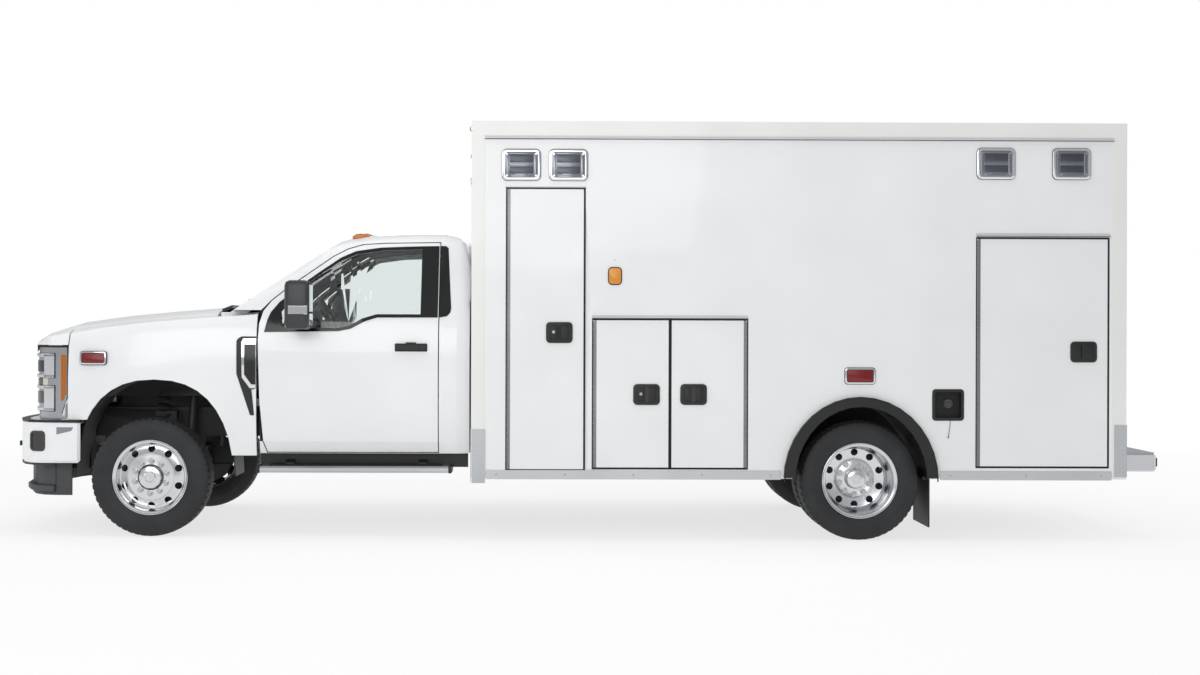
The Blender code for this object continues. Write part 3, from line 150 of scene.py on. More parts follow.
world = bpy.data.worlds.new("studio")
world.use_nodes = True
bpy.context.scene.world = world
sky = world.node_tree
sky.nodes.clear()
dim = add(sky, "ShaderNodeBackground", Color=linear("F2F4F6"), Strength=0.55)
bright = add(sky, "ShaderNodeBackground", Color=linear("FFFFFF"), Strength=1.0)
sight = add(sky, "ShaderNodeLightPath")
rays = [(0, sight, "Is Camera Ray"), (1, sight, "Is Transmission Ray")]
either = add(sky, "ShaderNodeMath", rays, operation="MAXIMUM")
backdrop = add(sky, "ShaderNodeMixShader", [(0, either, 0), (1, dim, 0), (2, bright, 0)])
add(sky, "ShaderNodeOutputWorld", [("Surface", backdrop, 0)])

# Columns: name, place, point it faces, width, height, watts
LAMPS = [
    ("overhead", (0.0, -1.0, 8.0), (0, 0, 1), 11.0, 6.0, 300),
    ("left_key", (-2.5, -11.0, 4.4), (0, 0, 1.1), 9.0, 4.5, 322),
    ("front_fill", (-11.0, -1.5, 4.0), (-2, 0, 1), 6.0, 4.0, 115),
    ("right_fill", (1.5, 11.0, 5.0), (0, 0, 1.2), 9.0, 4.0, 220),
    ("rear_fill", (11.0, 1.0, 4.5), (2, 0, 1.2), 6.0, 4.0, 140),
]
for name, place, aim, width, height, watts in LAMPS:
    lamp_data = bpy.data.lights.new(name, "AREA")
    lamp_data.shape = "RECTANGLE"
    lamp_data.size, lamp_data.size_y = width, height
    lamp_data.energy = watts
    lamp = bpy.data.objects.new(name, lamp_data)
    # The glossy roof would show this lamp's edge as a hard line.
    lamp.visible_glossy = name != "overhead"
    lamp.location = place
    lamp.rotation_euler = (Vector(place) - Vector(aim)).to_track_quat("Z", "Y").to_euler()
    bpy.context.scene.collection.objects.link(lamp)

camera_data = bpy.data.cameras.new("camera")
camera_data.lens = CAMERA_LENS
camera_data.sensor_width = CAMERA_SENSOR
camera_data.shift_x, camera_data.shift_y = CAMERA_SHIFT
camera = bpy.data.objects.new("camera", camera_data)
camera.location = CAMERA_PLACE
turn = Euler((math.pi / 2, 0, CAMERA_YAW)).to_matrix() @ Matrix.Rotation(CAMERA_ROLL, 3, "Z")
camera.rotation_euler = turn.to_euler()
bpy.context.scene.collection.objects.link(camera)
bpy.context.scene.camera = camera
bpy.context.scene.view_settings.view_transform = "Standard"

# Ladder frame, engine block, axles and knuckles: welded and forged steel.
# Sprayed with black chassis paint, which is satin and slightly pebbled, with road dust low down.
# Every speckled finish also has slow patches of this size, as paint and dust have.
PATCH_MM = 588
WELD = 0.00005
FLAT_ANGLE = math.radians(0.4)
BEVEL_ANGLE = math.radians(40)


def graded(ramp, *stops):
    """Gives a colour ramp its stops, as pairs of place and hex colour."""
    for element, (place, colour) in zip(ramp.color_ramp.elements, stops):
        element.position = place
        element.color = linear(colour)


def speckled(name, dark, light, grain_mm, roughness, bump=0.15, metallic=0.0, coat=0.0):
    """A finish whose colour and relief vary at a grain size, for paint, rubber and castings.

    A grain that is under a millimetre on the real thing is drawn coarser, so that it shows.
    """
    material, tree = blank_material(name)
    place = add(tree, "ShaderNodeTexCoord")
    spot = [("Vector", place, "Object")]
    fine = 1000 / grain_mm
    grain = add(tree, "ShaderNodeTexNoise", spot, Scale=fine, Detail=3.0, Roughness=0.55)
    broad = add(tree, "ShaderNodeTexNoise", spot, Scale=1000 / PATCH_MM, Detail=2.0)
    ramp = add(tree, "ShaderNodeValToRGB", [("Fac", broad, "Fac")])
    graded(ramp, (0.32, dark), (0.72, light))
    height = [("Height", grain, "Fac")]
    relief = add(tree, "ShaderNodeBump", height, Strength=bump, Distance=grain_mm / 4000)
    shader = add(
        tree,
        "ShaderNodeBsdfPrincipled",
        [("Base Color", ramp, "Color"), ("Normal", relief, "Normal")],
        Roughness=roughness,
        Metallic=metallic,
        Coat_Weight=coat,
        Coat_Roughness=0.05,
    )
    return surfaced(material, shader)


def build(bm, name, body, finish=None, angle=32, counted=True, bevel=0.0, segments=2):
    """A bmesh as a piece that rides on a body, its X counted back from the front axle."""
    if counted:
        bmesh.ops.translate(bm, verts=bm.verts, vec=(AXLE_X, 0, 0))
    mesh = bpy.data.meshes.new(name)
    for face in bm.faces:
        face.smooth = True
    bm.to_mesh(mesh)
    bm.free()
    mesh.set_sharp_from_angle(angle=math.radians(angle))
    piece = bpy.data.objects.new(name, mesh)
    bpy.context.scene.collection.objects.link(piece)
    if bevel:
        edge = piece.modifiers.new("edge", "BEVEL")
        edge.width = bevel
        edge.segments = segments
        edge.limit_method = "ANGLE"
        edge.angle_limit = BEVEL_ANGLE
        edge.harden_normals = True
    if finish:
        mesh.materials.append(finish)
    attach(piece, body)
    return piece


def welded_copy(node, angle=32):
    """A CAD node's own shape as one welded, smoothly shaded piece that stands for the node."""
    source = frame["nodes"][node]
    bm = bmesh.new()
    bm.from_mesh(source.data)
    bmesh.ops.remove_doubles(bm, verts=bm.verts, dist=WELD)
    bmesh.ops.dissolve_degenerate(bm, edges=bm.edges, dist=WELD / 5)
    bmesh.ops.dissolve_limit(bm, angle_limit=FLAT_ANGLE, verts=bm.verts, edges=bm.edges)
    piece = build(bm, node + "_skin", source["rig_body"], angle=angle, counted=False)
    shade = piece.modifiers.new("shade", "WEIGHTED_NORMAL")
    shade.keep_sharp = True
    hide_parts(node)
    return piece


def coat(piece, finish):
    """Gives the whole piece one finish."""
    piece.data.materials.clear()
    piece.data.materials.append(finish)
    return piece


# Chassis paint gives a soft, even black; bare forged steel is greyer and catches more light.
chassis_paint = speckled("chassis_black_paint", "0C0D0E", "1B1C1E", 9, 0.52)
forged_steel = speckled("forged_steel_dusty", "26282A", "3A3C3E", 6, 0.48, 0.2, 0.35)
for node in ("frame", "front_axle", "rear_axle"):
    coat(welded_copy(node), chassis_paint)
for node in ("engine_block", "knuckle_left", "knuckle_right"):
    coat(welded_copy(node), forged_steel)

# Front springs and dampers: coil springs and tubular shock absorbers behind each front wheel.
# Painted black and dull grey; the spring is one round bar wound on the spring seat.
SPRING_PLACE = (-0.02, 0.560, 0.665)
SPRING_TOP = 0.985
SPRING_BAR = 0.008
SPRING_COIL = 0.048
SPRING_TURNS = 6
SPRING_STEPS = SPRING_TURNS * 20
DAMPER_FOOT = (0.165, -0.560, 0.520)
DAMPER_HEAD = (0.190, -0.520, 0.960)
DAMPER_ROD = 0.020
DAMPER_TUBE = 0.028


def bar(bm, start, end, radius, sides=16, end_radius=None):
    """A round bar or cone between two points."""
    start, end = Vector(start), Vector(end)
    run = end - start
    turn = Vector((0, 0, 1)).rotation_difference(run).to_matrix().to_4x4()
    bmesh.ops.create_cone(
        bm,
        cap_ends=True,
        segments=sides,
        radius1=radius,
        radius2=radius if end_radius is None else end_radius,
        depth=run.length,
        matrix=Matrix.Translation((start + end) / 2) @ turn,
    )


def everything(bm):
    """All of a mesh, as an operator takes it."""
    return bm.verts[:] + bm.edges[:] + bm.faces[:]


def swept(bm, geom, centre, axis, angle, steps, rise=0.0, merge=False, copies=False):
    """Spins geometry round an axis through a centre, rising a little with each step."""
    bmesh.ops.spin(
        bm,
        geom=geom,
        cent=centre,
        axis=axis,
        dvec=(0, 0, rise),
        angle=angle,
        steps=steps,
        use_merge=merge,
        use_duplicate=copies,
    )


def mirrored(bm):
    """Adds the right-hand copy of everything in the mesh."""
    made = bmesh.ops.duplicate(bm, geom=everything(bm))["geom"]
    verts = [item for item in made if isinstance(item, bmesh.types.BMVert)]
    faces = [item for item in made if isinstance(item, bmesh.types.BMFace)]
    bmesh.ops.scale(bm, vec=(1, -1, 1), verts=verts)
    bmesh.ops.reverse_faces(bm, faces=faces)


coil = bmesh.new()
x, y, z = SPRING_PLACE
upright = Matrix.Translation((x + SPRING_COIL, -y, z)) @ Matrix.Rotation(-math.pi / 2, 4, "X")
bmesh.ops.create_circle(coil, cap_ends=True, segments=8, radius=SPRING_BAR, matrix=upright)
wound = math.tau * SPRING_TURNS
rise = (SPRING_TOP - z) / SPRING_STEPS
swept(coil, everything(coil), (x, -y, z), (0, 0, 1), wound, SPRING_STEPS, rise)
bmesh.ops.recalc_face_normals(coil, faces=coil.faces)
mirrored(coil)
build(coil, "front_coil_springs", "root", forged_steel)

dampers = bmesh.new()
foot, head = Vector(DAMPER_FOOT), Vector(DAMPER_HEAD)
bar(dampers, foot, foot.lerp(head, 0.45), DAMPER_ROD, 20)
bar(dampers, foot.lerp(head, 0.42), head, DAMPER_TUBE, 20)
mirrored(dampers)
build(dampers, "front_dampers", "root", forged_steel)

# Tyres: six radial truck tyres of moulded rubber, two in front and two pairs at the rear.
# Each is one section spun round the axle, with five ribs, four grooves and slotted shoulders.
WHEEL_RADIUS = 0.411
REAR_AXLE = 4.902
FRONT_TRACK = 0.950
REAR_OUTER_TRACK = 1.077
REAR_INNER_TRACK = 0.815
# Half of the tyre's section, outwards from the middle: distance from the axle, and across
TREAD_ROWS = [(0.4110, 0.0000), (0.4108, 0.0130), (0.4015, 0.0145), (0.4015, 0.0215)]
TREAD_ROWS += [(0.4106, 0.0230), (0.4102, 0.0470), (0.4010, 0.0485), (0.4010, 0.0560)]
TREAD_ROWS += [(0.4098, 0.0575), (0.4082, 0.0800), (0.4040, 0.0905)]
WALL_ROWS = [(0.3960, 0.0968), (0.3860, 0.1020), (0.3845, 0.1014), (0.3700, 0.1075)]
WALL_ROWS += [(0.3500, 0.1116), (0.3300, 0.1128), (0.3290, 0.1120), (0.3100, 0.1105)]
WALL_ROWS += [(0.2900, 0.1070), (0.2780, 0.1035), (0.2720, 0.1012), (0.2660, 0.0995)]
WALL_ROWS += [(0.2612, 0.0940), (0.2450, 0.0900)]
TREAD_PITCHES = 54
SLOT_DEPTH = 0.0065
# The shoulder slots lie outside this radius and this far from the tyre's middle.
SLOT_ZONE = (0.398, 0.0585)
# Mould rings are 6 mm apart on the wall; the rubber's grain is drawn coarse so that it shows.
MOULD_RING_MM = 6.04
RUBBER_GRAIN_MM = 3.125
DUST_MM = 143
SIDES = (("left", -1), ("right", 1))


def chain(bm, rows, centre):
    """Vertices joined by edges from (radius, y) rows, straight above a centre."""
    verts = [bm.verts.new((centre[0], centre[1] + y, centre[2] + r)) for r, y in rows]
    for a, b in zip(verts, verts[1:]):
        bm.edges.new((a, b))
    return verts


def spun(bm, rows, centre, steps):
    """A section spun once round a cross axis, closed where it meets itself."""
    verts = chain(bm, rows, centre)
    edges = [edge for edge in bm.edges if edge.verts[0] in verts]
    swept(bm, verts + edges, centre, (0, 1, 0), math.tau, steps, merge=True)
    bmesh.ops.remove_doubles(bm, verts=bm.verts, dist=0.00002)
    bmesh.ops.recalc_face_normals(bm, faces=bm.faces)


def drawn_out(bm, faces, step=(0, 0, 0)):
    """Extrudes faces by a step and gives the new vertices."""
    made = bmesh.ops.extrude_face_region(bm, geom=faces)["geom"]
    verts = [item for item in made if isinstance(item, bmesh.types.BMVert)]
    bmesh.ops.translate(bm, verts=verts, vec=step)
    return verts


def tyre_mesh(x, y):
    """One tyre, made of repeats of a wedge whose shoulders carry a slot."""
    bm = bmesh.new()
    half = TREAD_ROWS + WALL_ROWS
    rows = [(r, -across) for r, across in reversed(half[1:])] + half
    rows.append(rows[0])
    centre = Vector((x, y, WHEEL_RADIUS))
    wedge = math.tau / TREAD_PITCHES
    verts = chain(bm, rows, centre)
    swept(bm, verts + bm.edges[:], centre, (0, 1, 0), wedge, 3)
    slots = []
    for face in bm.faces:
        place = face.calc_center_median() - centre
        reach = math.hypot(place.x, place.z)
        swing = math.atan2(place.x, place.z)
        middle = abs(abs(swing) - wedge / 2) < wedge / 8
        if middle and reach > SLOT_ZONE[0] and abs(place.y) > SLOT_ZONE[1]:
            slots.append(face)
    sunk = drawn_out(bm, slots)
    bmesh.ops.delete(bm, geom=slots, context="FACES_ONLY")
    for vert in sunk:
        out = Vector((vert.co.x - centre.x, 0, vert.co.z - centre.z)).normalized()
        vert.co -= out * SLOT_DEPTH
    swept(bm, everything(bm), centre, (0, 1, 0), math.tau, TREAD_PITCHES, copies=True)
    bmesh.ops.remove_doubles(bm, verts=bm.verts, dist=0.00003)
    bmesh.ops.recalc_face_normals(bm, faces=bm.faces)
    return bm


def wheel_rings(tree, place, centre_x, pitch_mm, distortion=0.0):
    """Rings round a wheel's axle, a pitch apart, as a mould or a lathe leaves them."""
    middle = (-centre_x, 0, -WHEEL_RADIUS)
    centred = add(tree, "ShaderNodeMapping", [("Vector", place, "Object")], Location=middle)
    return add(
        tree,
        "ShaderNodeTexWave",
        [("Vector", centred, "Vector")],
        wave_type="RINGS",
        rings_direction="Y",
        Scale=math.tau / 20 / (pitch_mm / 1000),
        Distortion=distortion,
    )


def rubber_finish(name, centre_x):
    """Moulded rubber: matt and dusty, with fine rings from the mould round its wall."""
    material, tree = blank_material(name)
    place = add(tree, "ShaderNodeTexCoord")
    spot = [("Vector", place, "Object")]
    rings = wheel_rings(tree, place, centre_x, MOULD_RING_MM)
    grain = add(tree, "ShaderNodeTexNoise", spot, Scale=1000 / RUBBER_GRAIN_MM, Detail=2.0)
    dust = add(tree, "ShaderNodeTexNoise", spot, Scale=1000 / DUST_MM, Detail=4.0)
    tone = add(tree, "ShaderNodeValToRGB", [("Fac", dust, "Fac")])
    graded(tone, (0.3, "17181A"), (0.75, "242527"))
    height = [("Height", rings, "Fac")]
    ringed = add(tree, "ShaderNodeBump", height, Strength=0.18, Distance=0.0006)
    height = [("Height", grain, "Fac"), ("Normal", ringed, 0)]
    relief = add(tree, "ShaderNodeBump", height, Strength=0.2, Distance=0.0005)
    links = [("Base Color", tone, "Color"), ("Normal", relief, "Normal")]
    shader = add(tree, "ShaderNodeBsdfPrincipled", links, Roughness=0.62, IOR=1.52)
    return surfaced(material, shader)


front_rubber = rubber_finish("moulded_tyre_rubber_front", AXLE_X)
rear_rubber = rubber_finish("moulded_tyre_rubber_rear", AXLE_X + REAR_AXLE)
# Columns: name, body stem, X, distance from the middle
TYRES = [
    ("front_tyre", "front_wheel", 0.0, FRONT_TRACK),
    ("rear_outer_tyre", "rear_wheels", REAR_AXLE, REAR_OUTER_TRACK),
    ("rear_inner_tyre", "rear_wheels", REAR_AXLE, REAR_INNER_TRACK),
]
for name, stem, x, track in TYRES:
    for side, sign in SIDES:
        finish = rear_rubber if x else front_rubber
        tyre = build(tyre_mesh(x, sign * track), f"{name}_{side}_tread", f"{stem}_{side}", finish)
        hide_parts(f"{name}_{side}")

# Wheels: forged aluminium discs, turned and polished, with ten round hand holes.
# The front disc stands out to a hub cover; the rear outer disc is deep and takes the hub.
HAND_HOLES = 10
HAND_HOLE_RADIUS = 0.0245
HAND_HOLE_DEPTH = 0.2
FRONT_HOLE_RING = 0.197
REAR_HOLE_RING = 0.182
# The rear pair's discs meet at this distance from the middle.
DISC_TRACK = 0.946
LUG_CIRCLE = 0.1125
LUG_START = 0.05
# A nut's flange, seat, hexagon and stud: low and high end, radius, sides
LUG_STEPS = [(-0.002, 0.003, 0.0215, 24), (0.002, 0.006, 0.0195, 24)]
LUG_STEPS += [(0.005, 0.026, 0.0165, 6), (0.025, 0.036, 0.0098, 14)]
HUB_SEAL = [(0.0838, 0.0747), (0.0838, 0.0790), (0.0890, 0.0790), (0.0900, 0.0735)]
# Lathe rings are under 1 mm apart on the real disc and are drawn at 3 mm so that they show.
LATHE_RING_MM = 2.99
WEAR_MM = 45.45
FRONT_FACE = [(0.0, 0.1165), (0.012, 0.1165), (0.013, 0.114), (0.026, 0.114), (0.028, 0.1172)]
FRONT_FACE += [(0.037, 0.1176), (0.041, 0.1150), (0.042, 0.1060), (0.060, 0.1040)]
FRONT_FACE += [(0.074, 0.1000), (0.079, 0.0940), (0.0805, 0.0760), (0.0835, 0.0745)]
FRONT_FACE += [(0.0865, 0.0740), (0.120, 0.0715), (0.158, 0.0680), (0.1605, 0.0655)]
FRONT_FACE += [(0.1635, 0.0655), (0.166, 0.0635), (0.180, 0.0560), (0.197, 0.0480)]
FRONT_FACE += [(0.214, 0.0415), (0.2230, 0.0420), (0.2290, 0.0520), (0.2340, 0.0780)]
LIP = [(0.2375, 0.0865), (0.2440, 0.0915), (0.2490, 0.0925), (0.2530, 0.0965)]
LIP += [(0.2570, 0.0998), (0.2600, 0.0985), (0.2604, 0.0940), (0.2560, 0.0925)]
LIP += [(0.2445, 0.0920), (0.2430, 0.0800), (0.2380, 0.0550)]
REAR_FACE = [(0.0, 0.1115), (0.016, 0.1115), (0.018, 0.1090), (0.030, 0.1090), (0.032, 0.1110)]
REAR_FACE += [(0.056, 0.1085), (0.0635, 0.1035), (0.0670, 0.0940), (0.0680, 0.0420)]
REAR_FACE += [(0.0720, 0.0385), (0.1240, 0.0340), (0.1300, 0.0300), (0.1330, 0.0200)]
REAR_FACE += [(0.1420, 0.0150), (0.1800, 0.0200), (0.2060, 0.0270), (0.2180, 0.0400)]
REAR_FACE += [(0.2260, 0.0620), (0.2300, 0.1100), (0.2330, 0.2050)]
REAR_LIP = [(r, out + 0.131) for r, out in LIP]


def cut_away(bm, cutter):
    """The mesh with another mesh's space taken out of it."""
    held = []
    for name, source in (("blank", bm), ("cutter", cutter)):
        mesh = bpy.data.meshes.new(name)
        source.to_mesh(mesh)
        source.free()
        held.append(bpy.data.objects.new(name, mesh))
        bpy.context.scene.collection.objects.link(held[-1])
    step = held[0].modifiers.new("cut", "BOOLEAN")
    step.operation = "DIFFERENCE"
    step.solver = "EXACT"
    step.object = held[1]
    graph = bpy.context.evaluated_depsgraph_get()
    result = bmesh.new()
    result.from_mesh(held[0].evaluated_get(graph).to_mesh())
    for obj in held:
        mesh = obj.data
        bpy.data.objects.remove(obj)
        bpy.data.meshes.remove(mesh)
    return result


def round_places(ring, x, start=0.0):
    """Ten places evenly round a wheel's axle, as (x, z)."""
    turns = [start + math.tau * k / HAND_HOLES for k in range(HAND_HOLES)]
    return [(x + ring * math.sin(t), WHEEL_RADIUS + ring * math.cos(t)) for t in turns]


def disc_mesh(rows, lip, x, track, sign, hole_ring):
    """A turned wheel disc with its rim lip and hand holes."""
    bm = bmesh.new()
    face = rows + lip
    back = [(0.2300, lip[-1][1] - 0.020), (0.2200, rows[-4][1] - 0.012)]
    back += [(r, out - 0.011) for r, out in reversed(rows[6:-4])] + [(0.0, rows[6][1] - 0.02)]
    section = [(r, sign * out) for r, out in face + back]
    spun(bm, section, Vector((x, sign * track, WHEEL_RADIUS)), 120)
    holes = bmesh.new()
    inner, outer = sign * (track - HAND_HOLE_DEPTH), sign * (track + HAND_HOLE_DEPTH)
    for hx, hz in round_places(hole_ring, x):
        bar(holes, (hx, inner, hz), (hx, outer, hz), HAND_HOLE_RADIUS, 28)
    return cut_away(bm, holes)


def lug_nuts(x, out, sign):
    """Ten flanged hexagon nuts on their studs."""
    bm = bmesh.new()
    for lx, lz in round_places(LUG_CIRCLE, x, LUG_START):
        for low, high, radius, sides in LUG_STEPS:
            bar(bm, (lx, sign * (out + low), lz), (lx, sign * (out + high), lz), radius, sides)
    return bm


def turned_finish(name, centre_x, colour, roughness):
    """Polished metal: a bright mirror, softened by the faint rings that a lathe leaves."""
    material, tree = blank_material(name)
    place = add(tree, "ShaderNodeTexCoord")
    rings = wheel_rings(tree, place, centre_x, LATHE_RING_MM, 0.6)
    spot = [("Vector", place, "Object")]
    wear = add(tree, "ShaderNodeTexNoise", spot, Scale=1000 / WEAR_MM, Detail=4.0)
    gloss = add(
        tree,
        "ShaderNodeMapRange",
        [("Value", wear, "Fac")],
        To_Min=roughness - 0.05,
        To_Max=roughness + 0.09,
    )
    height = [("Height", rings, "Fac")]
    relief = add(tree, "ShaderNodeBump", height, Strength=0.06, Distance=0.0004)
    shader = add(
        tree,
        "ShaderNodeBsdfPrincipled",
        [("Roughness", gloss, 0), ("Normal", relief, "Normal")],
        Base_Color=linear(colour),
        Metallic=1.0,
    )
    return surfaced(material, shader)


front_alloy = turned_finish("polished_wheel_aluminium_front", AXLE_X, "D6D8DA", 0.2)
rear_alloy = turned_finish("polished_wheel_aluminium_rear", AXLE_X + REAR_AXLE, "D6D8DA", 0.2)
# Zinc-plated nuts are paler and duller than the disc; the hub's rubber seal is a thin black ring.
nut_steel = speckled("plated_nut_steel", "B4B6B8", "C6C8CA", 5, 0.26, 0.1, 1.0)
black_ring = speckled("black_hub_seal", "0E0F10", "17181A", 4, 0.5)
for side, sign in SIDES:
    front_body, rear_body = f"front_wheel_{side}", f"rear_wheels_{side}"
    disc = disc_mesh(FRONT_FACE, LIP, 0.0, FRONT_TRACK, sign, FRONT_HOLE_RING)
    wheel = build(disc, f"front_wheel_disc_{side}", front_body, front_alloy)
    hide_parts(f"front_rim_{side}")
    disc = disc_mesh(REAR_FACE, REAR_LIP, REAR_AXLE, DISC_TRACK, sign, REAR_HOLE_RING)
    wheel = build(disc, f"rear_wheel_disc_{side}", rear_body, rear_alloy)
    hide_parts(f"rear_rims_{side}")
    nuts = lug_nuts(0.0, FRONT_TRACK + 0.0725, sign)
    build(nuts, f"front_wheel_nuts_{side}", front_body, nut_steel, bevel=0.0012)
    nuts = lug_nuts(REAR_AXLE, DISC_TRACK + 0.0355, sign)
    build(nuts, f"rear_wheel_nuts_{side}", rear_body, nut_steel, bevel=0.0012)
    seal = bmesh.new()
    ring = [(r, sign * y) for r, y in HUB_SEAL + HUB_SEAL[:1]]
    spun(seal, ring, Vector((0, sign * FRONT_TRACK, WHEEL_RADIUS)), 96)
    build(seal, f"front_hub_seal_{side}", front_body, black_ring)

# Inner rims, wheel wells and hubs: the barrels behind the discs and the brake drums they cover.
# Rolled aluminium and cast iron, seen through the hand holes, from below and from behind.
cast_iron = speckled("cast_brake_iron", "2A2B2C", "3D3E40", 5, 0.6, 0.3, 0.6)
WELL_HALF = 0.0985
# Each drum's section: distance from the axle, and outwards from the wheel's own middle
FRONT_DRUM = [(0, 0.045), (0.150, 0.045), (0.190, 0.030), (0.205, 0.018), (0.205, -0.060)]
FRONT_DRUM += [(0, -0.060)]
REAR_DRUM = [(0, 0.0), (0.165, 0.0), (0.200, -0.020), (0.205, -0.170), (0.130, -0.185)]
REAR_DRUM += [(0, -0.185)]


def well_mesh(x, y, half):
    """A rim's well between two lips, open down the middle."""
    bm = bmesh.new()
    rows = [(0.2600, half), (0.2602, half - 0.006), (0.2450, half - 0.008), (0.2430, half * 0.7)]
    rows += [(0.2330, half * 0.5), (0.2330, -half * 0.5), (0.2430, -half * 0.7)]
    rows += [(0.2450, 0.008 - half), (0.2602, 0.006 - half), (0.2600, -half)]
    rows += [(0.2400, -half + 0.010), (0.2280, -half * 0.5), (0.2280, half * 0.5)]
    rows += [(0.2400, half - 0.010)]
    spun(bm, rows + rows[:1], Vector((x, y, WHEEL_RADIUS)), 96)
    return bm


# Columns: name, body stem, X, distance from the middle, finish
WELLS = [
    ("front_rim_well", "front_wheel", 0.0, FRONT_TRACK, front_alloy),
    ("rear_outer_rim_well", "rear_wheels", REAR_AXLE, REAR_OUTER_TRACK, rear_alloy),
    ("rear_inner_rim_well", "rear_wheels", REAR_AXLE, REAR_INNER_TRACK, rear_alloy),
]
DRUMS = [
    ("front_brake", "front_wheel", FRONT_DRUM, 0.0, FRONT_TRACK - 0.03),
    ("rear_brake", "rear_wheels", REAR_DRUM, REAR_AXLE, DISC_TRACK),
]
for side, sign in SIDES:
    for name, stem, x, track, finish in WELLS:
        well = well_mesh(x, sign * track, WELL_HALF)
        build(well, f"{name}_{side}", f"{stem}_{side}", finish)
    for name, stem, rows, x, track in DRUMS:
        drum = bmesh.new()
        section = [(r, sign * y) for r, y in rows]
        spun(drum, section, Vector((x, sign * track, WHEEL_RADIUS)), 72)
        build(drum, f"{name}_{side}", f"{stem}_{side}", cast_iron)

# Cab body: pressed steel panels welded into one shell, with hung doors, hood and fenders.
# Two-coat white enamel under clear lacquer: glossy, with the faintest orange peel. The lining
# and the trims are moulded plastic, which is matt and finely grained.
CAB_HALF_SECTION = [(0.575, 0.955), (0.910, 1.010), (1.250, 1.015), (1.500, 0.975)]
CAB_HALF_SECTION += [(2.030, 0.800), (2.150, 0.600)]
CAB_BACK = 2.165
CEILING = 2.115
LINING_DEPTH = 0.045
# The windscreen's slope: X at its foot, the foot's height, and the rise for each metre back
SCREEN_FOOT, SCREEN_FOOT_Z, SCREEN_RISE = 0.50, 1.60, 0.6434
SCREEN_NORMAL = Vector((-0.541, 0, 0.841))
white_enamel = speckled("white_clearcoat_enamel", "EEEFF0", "F3F4F4", 2.2, 0.32, 0.012, coat=0.5)
dark_trim = speckled("moulded_trim_charcoal", "26292C", "34373A", 1.6, 0.62, 0.35)
black_trim = speckled("moulded_trim_black", "101112", "1A1B1C", 1.8, 0.46, 0.25)


def half_width(z):
    """The cab's half width at a height."""
    for (low, a), (high, b) in zip(CAB_HALF_SECTION, CAB_HALF_SECTION[1:]):
        if z <= high:
            share = max(0.0, (z - low) / (high - low))
            return a + (b - a) * share
    return CAB_HALF_SECTION[-1][1]


def line_inside(piece, finish, floor_z):
    """Gives the faces that look into the cab the trim's finish."""
    piece.data.materials.append(finish)
    for face in piece.data.polygons:
        x, y, z = face.center
        x -= AXLE_X
        screen = SCREEN_FOOT + max(0.0, z - SCREEN_FOOT_Z) / SCREEN_RISE
        within = abs(y) < half_width(z) - LINING_DEPTH and screen + 0.05 < x < CAB_BACK
        inwards = face.normal.y * (1 if y > 0 else -1) < 0.5
        outward = face.normal.dot(SCREEN_NORMAL) > 0.3 and x < 1.9 and z > 1.45
        overhead = face.normal.z > 0.2 and z > 1.9
        if within and floor_z < z < CEILING and inwards and not outward and not overhead:
            face.material_index = 1


for node in ("cab_shell", "cab_door_left", "cab_door_right"):
    skin = coat(welded_copy(node, angle=28), white_enamel)
    line_inside(skin, dark_trim, 0.70 if "door" in node else 0.95)
# The hinge pillars' faces behind the fenders' rear edges are black, as their seals are.
for face in bpy.data.objects["cab_shell_skin"].data.polygons:
    x, y, z = face.center
    if 0.74 < x - AXLE_X < 0.80 and 0.84 < abs(y) < 1.0 and z < 1.62:
        face.material_index = 1
for node in ("hood", "fender_left", "fender_right"):
    coat(welded_copy(node, angle=34), white_enamel)
# The hood's folded front edge below this height carries its black rubber seal.
HOOD_SEAL_TOP = 1.3255
hood_skin = bpy.data.objects["hood_skin"]
fold = bmesh.new()
fold.from_mesh(hood_skin.data)
level = {"plane_co": (0, 0, HOOD_SEAL_TOP), "plane_no": (0, 0, 1)}
bmesh.ops.bisect_plane(fold, geom=everything(fold), **level)
fold.to_mesh(hood_skin.data)
fold.free()
hood_skin.data.materials.append(black_trim)
for face in hood_skin.data.polygons:
    if face.center.z < HOOD_SEAL_TOP:
        face.material_index = 1
coat(welded_copy("inner_fenders"), black_trim)
coat(welded_copy("dashboard", angle=40), dark_trim)

# Door and screen glass: curved toughened panes, 5 mm thick, clear with a slight green edge.
# The door's pane runs in a black channel; the windscreen is bonded in.


def glass_finish(name, tint):
    """Float glass: clear, gloss, and near colourless at this thickness."""
    material, tree = blank_material(name)
    shader = add(
        tree,
        "ShaderNodeBsdfPrincipled",
        Base_Color=linear(tint),
        Roughness=0.0,
        IOR=1.45,
        Transmission_Weight=1.0,
    )
    return surfaced(material, shader)


clear_glass = glass_finish("toughened_glass_clear", "F1F6F5")
for node in ("cab_door_glass_left", "cab_door_glass_right", "windscreen"):
    coat(welded_copy(node, angle=5), clear_glass)

